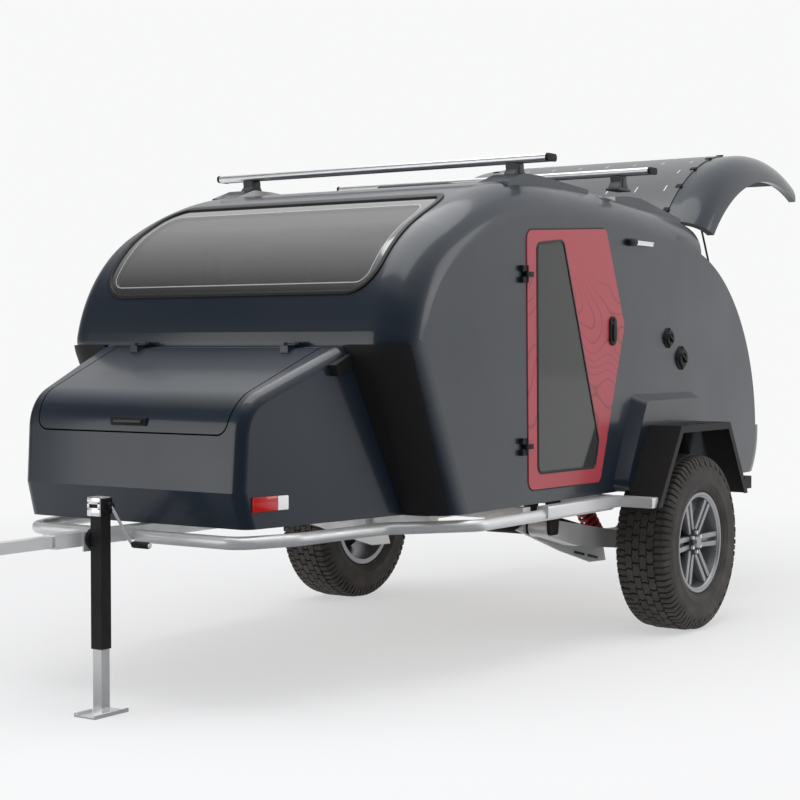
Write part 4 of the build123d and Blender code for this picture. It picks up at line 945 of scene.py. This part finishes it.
def tyre_carcass():
    """The tyre's body with ribs on its sides."""
    side = (
        (0.216, 0.103), (0.234, 0.108), (0.240, 0.117), (0.246, 0.118), (0.250, 0.123),
        (0.272, 0.129), (0.276, 0.1315), (0.281, 0.1315), (0.284, 0.130), (0.322, 0.1345), (0.338, 0.134),
        (0.350, 0.131), (0.368, 0.123), (TYRE_R - 0.017, 0.108), (TYRE_R - 0.012, 0.090),
    )
    profile = list(side) + [(radius, -along) for radius, along in reversed(side)]
    return lathe(WHEEL, ACROSS, profile, 96)


def rim_ring():
    """Barrel, flanges and stepped outer lip of an alloy wheel."""
    profile = (
        (0.216, -0.103), (0.231, -0.104), (0.231, -0.114), (0.207, -0.114), (0.203, -0.020),
        (0.203, 0.060), (0.207, 0.085), (0.209, 0.104), (0.212, 0.1065), (0.216, 0.108),
        (0.219, 0.113), (0.230, 0.115), (0.233, 0.112), (0.233, 0.105), (0.218, 0.103), (0.214, 0.070),
    )
    return lathe(WHEEL, ACROSS, profile, 96)


def wheel_spokes():
    """Six pairs of bars between the hub and the barrel."""
    turn = math.radians(30)
    across = wheel_run(turn)
    pieces = []
    for side in (-1, 1):
        near = wheel_point(turn, 0.050, 0.072) + across * side * 0.0185
        far = wheel_point(turn, 0.207, 0.093) + across * side * 0.0215
        pieces.append(beam(near, far, 0.021, 0.025, 0.026, 0.022, across, 0.0035))
    inner, outer = wheel_point(turn, 0.060, 0.056), wheel_point(turn, 0.206, 0.074)
    web = beam(inner, outer, 0.050, 0.064, 0.012, 0.012, across, 0.002)
    return arrayed(joined([*pieces, web]), 6, WHEEL, ACROSS)


def build_wheels(sizes):
    """Tyres with their tread, and the alloy wheels."""
    disc_profile = (
        (0.0, -0.05), (0.062, -0.05), (0.150, 0.0), (0.152, 0.012), (0.070, 0.020), (0.066, 0.080),
        (0.060, 0.087), (0.0, 0.087),
    )
    cap_profile = (
        (0.0, 0.080), (0.028, 0.080), (0.0285, 0.104), (0.0255, 0.108), (0.012, 0.1095), (0.0, 0.1095),
    )
    tyre = joined([tyre_carcass(), tyre_tread(sizes)])
    ring = joined([rim_ring(), wheel_spokes()])
    disc = lathe(WHEEL, ACROSS, disc_profile, 48)
    nut = rod(wheel_point(0, 0.044, 0.080), wheel_point(0, 0.044, 0.101), 0.0095, 6, 0.0015)
    nuts = arrayed(nut, 6, WHEEL, ACROSS)
    cap = lathe(WHEEL, ACROSS, cap_profile, 40)
    for side, sign in SIDES:
        group = [tyre, ring, disc, nuts, cap]
        if sign > 0:
            group = [copied(piece) for piece in group]
        else:
            for piece in group:
                piece.scale = (1, -1, 1)
                settle(piece)
                outwards(piece)
        body = f"wheel_{side}"
        done(f"tyre_tread_{side}", group[0], "tyre", body, [f"tyre_{side}"], 40)
        done(f"wheel_face_{side}", group[1], "alloy", body, [f"rim_{side}"], 40)
        done(f"wheel_hub_{side}", group[2], "steel_black", body, (), 40)
        done(f"wheel_nuts_{side}", group[3], "bright", body)
        done(f"wheel_cap_{side}", group[4], "alloy", body, (), 40)


def build_running_gear(sizes):
    """Arms with their plates and bars, hangers, dampers, springs and fenders."""
    dressed("zinc", "trailing_arms")
    dressed("steel_black", "arm_hangers", "dampers", "fenders")
    dressed("red", "coil_springs")
    plates, bars, slot_shade_strips = [], [], []
    for sign in (-1, 1):
        plates.append(side_prism(ARM_PLATE, 0.612 * sign, 0.620 * sign, 0.002, 1))
        bars.append(beam(at(0.700, 0.648 * sign, 0.545), at(0.060, 0.648 * sign, 0.400),
                         0.036, 0.036, 0.044, 0.044, ACROSS, 0.004))
        bars.append(rod(at(0.800, 0.400 * sign, 0.520), at(0.800, 0.670 * sign, 0.520), 0.034, 28, 0.003))
        # The slots are not cut: a thin black strip over each one is painted shade for its dark opening
        for ends in ARM_SLOTS:
            start, end = [at(x, 0.6206 * sign, z) for x, z in ends]
            slot_shade_strips.append(beam(start, end, 0.0012, 0.0012, 0.012, 0.012, ACROSS))
    done("skid_plates", plates, "zinc", "trailer")
    done("arm_beams", bars, "steel_black", "trailer")
    # Painted shade for the slot openings, in the black rubber finish
    done("skid_slot_shade", slot_shade_strips, "seal", "trailer")


def build_chassis(sizes):
    """Frame, tongue and tow yoke, and the flat beams under the sills with a foot under each fender."""
    dressed("zinc", "frame_rails", "crossmembers", "tongue", "hitch_yoke", "side_tubes")
    sills = []
    for sign in (-1, 1):
        sills.append(side_block((0.500, 1.160), (0.857, 0.912), (0.600, 0.650), sign, 0.004))
        sills.append(side_block((0.455, 0.515), (0.862, 1.068), (0.600, 0.646), sign, 0.004))
    done("sill_beams", sills, "zinc", "trailer")


def build_jack(sizes):
    """The tongue jack's tube, leg, head, clip and crank."""
    dressed("steel_black", "jack_tube")
    dressed("bright", "jack_leg")
    low, high = box_of("jack_tube")
    x = (low.x + high.x) / 2 - WHEEL.x
    y_low, y_high, top = high.y - 0.050, high.y, high.z
    housing = block(at(x - 0.031, y_low - 0.005, top - 0.006), at(x + 0.029, y_high + 0.006, top + 0.052),
                    0.005, 3)
    shaft = (x - 0.010, top + 0.022)
    gear = rod(at(shaft[0], y_high, shaft[1]), at(shaft[0], y_high + 0.021, shaft[1]), 0.015, 24, 0.002)
    done("jack_housing", [housing, gear], "steel_black", "jack", ["jack_head"])
    outer, back = y_high + 0.004, x + 0.034
    clip = [
        block(at(x + start, inner - 0.008, top + foot), at(back, end, top + head), 0.002)
        for start, inner, end, foot, head in (
            (0.028, y_low, outer, 0.030, 0.056), (0.028, y_low, outer, -0.012, 0.018),
            (0.028, y_low, y_low + 0.002, 0.010, 0.040), (0.028, y_high, outer, 0.010, 0.040),
            (-0.020, y_low, outer, 0.051, 0.056),
        )
    ]
    done("jack_clip", clip, "bright", "jack")
    crank_y = y_high + 0.017
    end_x, end_z = CRANK_END
    crank = tube([
        at(shaft[0], outer, shaft[1]), at(shaft[0], crank_y - 0.004, shaft[1]),
        at(x - 0.013, crank_y, top + 0.018), at(end_x + 0.004, crank_y, end_z + 0.006),
        at(end_x, crank_y + 0.004, end_z), at(end_x, crank_y + 0.086, end_z)], 0.0058, fine=4)
    tip = rod(at(end_x, crank_y + 0.082, end_z), at(end_x, crank_y + 0.090, end_z), 0.0085, 24, 0.002)
    done("jack_crank", [crank, tip], "bright", "jack")
    grip = lathe(at(end_x, crank_y, end_z), ACROSS, (
        (0.0045, 0.006), (0.011, 0.006), (0.0125, 0.010), (0.0125, 0.078), (0.011, 0.083), (0.0045, 0.083),
    ), 32)
    done("jack_grip", grip, "grip", "jack")


def build_lid_latch():
    """The latch of the nose box: a surround, its pull and an inlay."""
    low, high = box_of("lid_latch")
    surround = block((low.x - 0.004, low.y, low.z), (high.x - 0.006, high.y, high.z), 0.003)
    pull = block((low.x, low.y + 0.014, low.z + 0.007), (high.x, high.y - 0.014, high.z - 0.006), 0.003)
    inlay = block((low.x, low.y + 0.022, low.z + 0.0115),
                  (high.x + 0.0006, high.y - 0.022, high.z - 0.0105), 0.0004)
    done("latch_pull", [surround, pull], "trim", "nose_lid", ["lid_latch"])
    done("latch_inlay", inlay, "tower", "nose_lid")


def build_porch_lights():
    """A hooded strip light with a swivel knob on each side."""
    knobs, strips, hoods = [], [], []
    for sign in (-1, 1):
        knobs.append(lathe(at(0, (SKIN + 0.012) * sign, 1.776), (1, 0, 0), (
            (0.0, 0.296), (0.013, 0.296), (0.0165, 0.302), (0.0165, 0.340), (0.0145, 0.352), (0.010, 0.362),
            (0.0, 0.362),
        ), 28))
        knobs.append(side_block((0.300, 0.345), (SKIN - 0.001, SKIN + 0.010), (1.764, 1.790), sign, 0.003))
        strips.append(side_block((0.125, 0.298), (SKIN + 0.002, SKIN + 0.019), (1.7645, 1.7765), sign, 0.003))
        hoods.append(side_block((0.120, 0.300), (SKIN - 0.001, SKIN + 0.020), (1.7760, 1.7845), sign, 0.002))
    done("porch_knobs", knobs, "trim", "trailer")
    done("porch_strips", strips, "lamp_white", "trailer", ["porch_lights"])
    done("porch_hoods", hoods, "aluminium", "trailer")


def build_ports():
    """Round filler ports with a grip bar and four lugs each."""
    caps = []
    for x, z, radius in PORTS:
        caps.append(lathe(at(x, SKIN, z), ACROSS, (
            (0.0, -0.004), (radius, -0.004), (radius, 0.003), (radius - 0.003, 0.006), (radius * 0.80, 0.007),
            (radius * 0.76, 0.014), (radius * 0.70, 0.0175), (radius * 0.42, 0.0175), (radius * 0.38, 0.011),
            (0.0, 0.011),
        ), 40))
        caps.append(beam(
            at(x - radius * 0.5, SKIN + 0.017, z - radius * 0.30),
            at(x + radius * 0.5, SKIN + 0.017, z + radius * 0.30),
            0.013, 0.013, 0.012, 0.012, ACROSS, 0.003,
        ))
        lug_z = z - radius * 0.88
        lug = rod(at(x, SKIN + 0.004, lug_z), at(x, SKIN + 0.012, lug_z), 0.006, 16, 0.001)
        caps.append(arrayed(lug, 4, at(x, SKIN, z), ACROSS))
    done("port_caps", caps, "trim", "trailer", ["side_ports"])


def build_lamps():
    """Tail lamps in black housings, and red and white markers on the nose box."""
    back = box_of("tail_lamps")[0].x + 0.001
    dressed("trim", "tail_lamps")
    second_finish("tail_lamps", "lamp_red", lambda face: face.center.x < back)

    def on_box(x, proud, sign):
        y = BOX_SIDE_Y - (x - BOX_SIDE_X) / BOX_SIDE_LONG * BOX_SIDE_TAPER + proud
        return at(x, y * sign, MARKER_Z)

    up = (0, 0, 1)
    for name, finish, nodes, start, end, proud, tall in (
        ("marker_lenses", "lamp_red", ["marker_lamps"], 2.512, 2.630, 0.004, 0.054),
        ("marker_ends", "lamp_white", (), 2.462, 2.514, 0.0035, 0.052),
    ):
        lenses = [
            beam(on_box(start, proud, sign), on_box(end, proud, sign), tall, tall, 0.010, 0.010, up, 0.004)
            for sign in (-1, 1)
        ]
        done(name, lenses, finish, "trailer", nodes)


def build_fittings(sizes):
    """Hinges, the lid latch, porch lights, ports and lamps."""
    dressed("trim", "fixed_hinges")
    build_lid_latch()
    build_porch_lights()
    build_ports()
    build_lamps()


def build_inside(sizes):
    """Boards of the galley and cabin."""
    dressed("board", "floor_deck", "bulkhead", "galley")


def filled(bed, low, high):
    """Blows a padded form up with a short cloth pass and keeps the result inside its box."""
    modified(bed, "REMESH", mode="VOXEL", voxel_size=BED_VOXEL)
    rest = [vertex.co.copy() for vertex in bed.data.vertices]
    pick(bed)
    bpy.ops.object.modifier_add(type="CLOTH")
    cloth = bed.modifiers[-1]
    cloth.settings.use_pressure = True
    cloth.settings.uniform_pressure_force = BED_PRESSURE
    cloth.settings.quality = 4
    cloth.settings.effector_weights.gravity = 0.0
    cloth.point_cache.frame_start, cloth.point_cache.frame_end = 1, BED_FRAMES
    for frame_number in range(1, BED_FRAMES + 1):
        bpy.context.scene.frame_set(frame_number)
    bpy.ops.object.modifier_apply(modifier=cloth.name)
    for vertex, home in zip(bed.data.vertices, rest):
        push = vertex.co - home
        if push.length > BED_SWELL:
            push *= BED_SWELL / push.length
        vertex.co = [min(max(place, least), most) for place, least, most in zip(home + push, low, high)]
    bpy.context.scene.frame_set(1)


def build_bed(sizes):
    """A mattress, filled by a cloth pass."""
    low, high = box_of("mattress")
    inset = Vector((0.006, 0.006, 0.004))
    bed = block(low + inset, high - inset, 0.03, 3)
    filled(bed, low, high)
    done("mattress_cover", bed, "cloth", "trailer", ["mattress"], smooth=60)


# Stage


def vector_math(tree, operation, vector):
    node = tree.nodes.new("ShaderNodeVectorMath")
    node.operation = operation
    tree.links.new(vector, node.inputs[0])
    return node


def ray_kinds(tree):
    """Sockets that say whether a camera or glass ray, or a mirror ray, asks for the colour."""
    rays = tree.nodes.new("ShaderNodeLightPath").outputs
    seen = calc(tree, "ADD", rays["Is Camera Ray"], rays["Is Transmission Ray"], clamp=True)
    return seen, rays["Is Glossy Ray"]


def facing(tree, vector, way, low, high):
    """How far a direction points along a way, from 0 at `low` to 1 at `high`."""
    unit = vector_math(tree, "NORMALIZE", vector)
    dot = vector_math(tree, "DOT_PRODUCT", unit.outputs["Vector"])
    dot.inputs[1].default_value = Vector(way).normalized()
    return ramped(tree, dot.outputs["Value"], low, high)


def emission(tree, kind, colour, strength=1.0):
    """A glowing shader with a plain or linked colour."""
    return plugged(tree, tree.nodes.new(kind), {"Color": colour, "Strength": strength}).outputs[0]


def shader_mix(tree, share, first, second):
    node = tree.nodes.new("ShaderNodeMixShader")
    return plugged(tree, node, {0: share, 1: first, 2: second}).outputs[0]


def emptied(owner):
    """The node tree of a new material or world, with no nodes in it."""
    owner.use_nodes = True
    owner.node_tree.nodes.clear()
    return owner.node_tree


def floor_finish():
    """Pale floor: white to the eye away from the trailer, with the trailer's shadow near it."""
    material = bpy.data.materials.new("Pale floor")
    tree = emptied(material)
    output = tree.nodes.new("ShaderNodeOutputMaterial")
    matt = tree.nodes.new("ShaderNodeBsdfDiffuse")
    matt.inputs["Color"].default_value = FLOOR_COLOUR
    place = place_socket(tree)
    away = ramped(tree, vector_math(tree, "LENGTH", place).outputs["Value"], *FLOOR_GLOW)
    seen, glossy = ray_kinds(tree)
    dark = calc(tree, "MULTIPLY", facing(tree, place, DARK_SIDE, *DARK_EDGE), glossy)
    either = calc(tree, "ADD", seen, glossy, clamp=True)
    share = calc(tree, "MULTIPLY", either, away)
    share = calc(tree, "MAXIMUM", share, dark)
    glow = emission(tree, "ShaderNodeEmission", mixed(tree, dark, STUDIO_WHITE, STUDIO_DARK))
    tree.links.new(shader_mix(tree, share, matt.outputs[0], glow), output.inputs["Surface"])
    return material


def studio_world():
    """White to the eye; mirrors see a bright rear, a dark card by the front corner and a white top."""
    world = bpy.data.worlds.new("Studio")
    tree = emptied(world)
    output = tree.nodes.new("ShaderNodeOutputWorld")
    way = tree.nodes.new("ShaderNodeTexCoord").outputs["Generated"]
    soft = facing(tree, way, REAR_CARD, 0.10, 0.93)
    crisp = facing(tree, way, REAR_CARD, REAR_CARD_EDGE - 0.004, REAR_CARD_EDGE + 0.004)
    level = calc(tree, "ADD", calc(tree, "MULTIPLY", soft, 0.75), 0.10)
    level = calc(tree, "ADD", level, calc(tree, "MULTIPLY", crisp, 0.30))
    side = mixed(tree, level, (0.0, 0.0, 0.0), STUDIO_WHITE)
    side = mixed(tree, facing(tree, way, DARK_SIDE, *DARK_EDGE), side, STUDIO_DARK)
    overhead = facing(tree, way, TOP_CARD, 0.38, 0.74)
    mirror = emission(tree, "ShaderNodeBackground", mixed(tree, overhead, side, STUDIO_WHITE))
    seen, glossy = ray_kinds(tree)
    light = emission(tree, "ShaderNodeBackground", (0.80, 0.81, 0.83), 0.85)
    pale = emission(tree, "ShaderNodeBackground", STUDIO_WHITE)
    shown = shader_mix(tree, glossy, shader_mix(tree, seen, light, pale), mirror)
    tree.links.new(shown, output.inputs["Surface"])
    return world


def build_stage(sizes):
    """Floor, soft lamps, pale surroundings and the camera."""
    scene = bpy.context.scene
    scene.view_settings.view_transform = "Standard"
    deselect()
    bpy.ops.mesh.primitive_plane_add(size=120, location=(0, 0, 0))
    floor = bpy.context.object
    floor.name = "floor"
    floor.data.materials.append(floor_finish())
    scene.world = studio_world()
    for place, target, size, power in LAMPS:
        place, target = Vector(place), Vector(target)
        turn = (place - target).to_track_quat("Z", "Y").to_euler()
        bpy.ops.object.light_add(type="AREA", location=place, rotation=turn)
        lamp = bpy.context.object
        lamp.data.size = size
        lamp.data.energy = power
    turn = [math.radians(angle) for angle in CAMERA_TURN]
    bpy.ops.object.camera_add(location=at(*CAMERA_PLACE), rotation=turn)
    camera = bpy.context.object
    camera.data.lens = CAMERA_LENS
    camera.data.sensor_width = 36.0
    scene.camera = camera


# Add-on


class TrailerSizes(bpy.types.PropertyGroup):
    tread_pitches: bpy.props.IntProperty(
        name="Tread pitches", description="Repeats of the tread round a tyre", default=40, min=20, max=80
    )
    gasket_width: bpy.props.FloatProperty(
        name="Gasket width", description="Width of the rubber round the nose window",
        default=0.016, min=0.006, max=0.04, unit="LENGTH", subtype="DISTANCE",
    )


def colour_property(name, description, default):
    return bpy.props.FloatVectorProperty(
        name=name, description=description, default=default, size=3, min=0, max=1, subtype="COLOR"
    )


class TrailerColours(bpy.types.PropertyGroup):
    body: colour_property("Body", "Paint of the shell and the nose box", (0.010, 0.017, 0.028))
    door: colour_property("Doors", "Paint of the doors", (0.40, 0.045, 0.060))
    door_line: colour_property("Door lines", "Lines drawn on the doors", (0.23, 0.022, 0.032))
    trim: colour_property("Trim", "Moulded plastic trim", (0.011, 0.011, 0.012))
    solar: colour_property("Solar panel", "Face of the solar panel", (0.075, 0.078, 0.082))


class TRAILER_OT_shell(bpy.types.Operator):
    """Paint the body and the nose box and line the cabin"""

    bl_idname = "trailer.shell"
    bl_label = "Shell"

    def execute(self, context):
        build_shell(context.scene.trailer_sizes)
        return {"FINISHED"}


class TRAILER_OT_window(bpy.types.Operator):
    """Glaze the nose window and fit its gasket"""

    bl_idname = "trailer.window"
    bl_label = "Nose window"

    def execute(self, context):
        build_window(context.scene.trailer_sizes)
        return {"FINISHED"}


class TRAILER_OT_doors(bpy.types.Operator):
    """Fit seals, gaskets and latches to the doors"""

    bl_idname = "trailer.doors"
    bl_label = "Doors"

    def execute(self, context):
        build_doors(context.scene.trailer_sizes)
        return {"FINISHED"}


class TRAILER_OT_hatch(bpy.types.Operator):
    """Finish the hatch, its liner, panel and struts"""

    bl_idname = "trailer.hatch"
    bl_label = "Hatch"

    def execute(self, context):
        build_hatch(context.scene.trailer_sizes)
        return {"FINISHED"}


class TRAILER_OT_roof(bpy.types.Operator):
    """Finish the crossbars and the vent"""

    bl_idname = "trailer.roof"
    bl_label = "Roof"

    def execute(self, context):
        build_roof(context.scene.trailer_sizes)
        return {"FINISHED"}


class TRAILER_OT_wheels(bpy.types.Operator):
    """Build the tyres' tread and the alloy wheels"""

    bl_idname = "trailer.wheels"
    bl_label = "Wheels"

    def execute(self, context):
        build_wheels(context.scene.trailer_sizes)
        return {"FINISHED"}


class TRAILER_OT_running_gear(bpy.types.Operator):
    """Finish arms, springs, dampers and fenders"""

    bl_idname = "trailer.running_gear"
    bl_label = "Running gear"

    def execute(self, context):
        build_running_gear(context.scene.trailer_sizes)
        return {"FINISHED"}


class TRAILER_OT_chassis(bpy.types.Operator):
    """Finish the frame, tongue and yoke and fit the sill beams"""

    bl_idname = "trailer.chassis"
    bl_label = "Chassis"

    def execute(self, context):
        build_chassis(context.scene.trailer_sizes)
        return {"FINISHED"}


class TRAILER_OT_jack(bpy.types.Operator):
    """Build the jack's head, clip and crank"""

    bl_idname = "trailer.jack"
    bl_label = "Jack"

    def execute(self, context):
        build_jack(context.scene.trailer_sizes)
        return {"FINISHED"}


class TRAILER_OT_fittings(bpy.types.Operator):
    """Build lights, ports, lamps and hinges"""

    bl_idname = "trailer.fittings"
    bl_label = "Fittings"

    def execute(self, context):
        build_fittings(context.scene.trailer_sizes)
        return {"FINISHED"}


class TRAILER_OT_inside(bpy.types.Operator):
    """Finish the boards of the cabin and galley"""

    bl_idname = "trailer.inside"
    bl_label = "Inside"

    def execute(self, context):
        build_inside(context.scene.trailer_sizes)
        return {"FINISHED"}


class TRAILER_OT_bed(bpy.types.Operator):
    """Make the mattress"""

    bl_idname = "trailer.bed"
    bl_label = "Bed"

    def execute(self, context):
        build_bed(context.scene.trailer_sizes)
        return {"FINISHED"}


class TRAILER_OT_stage(bpy.types.Operator):
    """Set up floor, light and camera"""

    bl_idname = "trailer.stage"
    bl_label = "Stage"

    def execute(self, context):
        build_stage(context.scene.trailer_sizes)
        return {"FINISHED"}


STEPS = (
    TRAILER_OT_shell, TRAILER_OT_window, TRAILER_OT_doors, TRAILER_OT_hatch, TRAILER_OT_roof,
    TRAILER_OT_wheels, TRAILER_OT_running_gear, TRAILER_OT_chassis, TRAILER_OT_jack,
    TRAILER_OT_fittings, TRAILER_OT_inside, TRAILER_OT_bed, TRAILER_OT_stage,
)


class TRAILER_PT_panel(bpy.types.Panel):
    """Lists the steps that dress the trailer"""

    bl_idname = "TRAILER_PT_panel"
    bl_label = "Trailer"
    bl_space_type = "VIEW_3D"
    bl_region_type = "UI"
    bl_category = "Trailer"

    def draw(self, context):
        layout = self.layout
        for group in (context.scene.trailer_sizes, context.scene.trailer_colours):
            for key in group.bl_rna.properties.keys():
                if key not in ("rna_type", "name"):
                    layout.prop(group, key)
        for item in STEPS:
            layout.operator(item.bl_idname)


CLASSES = (TrailerSizes, TrailerColours, *STEPS, TRAILER_PT_panel)


def register():
    for item in CLASSES:
        bpy.utils.register_class(item)
    bpy.types.Scene.trailer_sizes = bpy.props.PointerProperty(type=TrailerSizes)
    bpy.types.Scene.trailer_colours = bpy.props.PointerProperty(type=TrailerColours)


def unregister():
    del bpy.types.Scene.trailer_colours
    del bpy.types.Scene.trailer_sizes
    for item in reversed(CLASSES):
        bpy.utils.unregister_class(item)


def main():
    register()
    FINISH.update(make_finishes(bpy.context.scene.trailer_colours))
    for item in STEPS:
        deselect()
        getattr(bpy.ops.trailer, item.bl_idname.split(".")[1])()


if __name__ == "__main__":
    main()
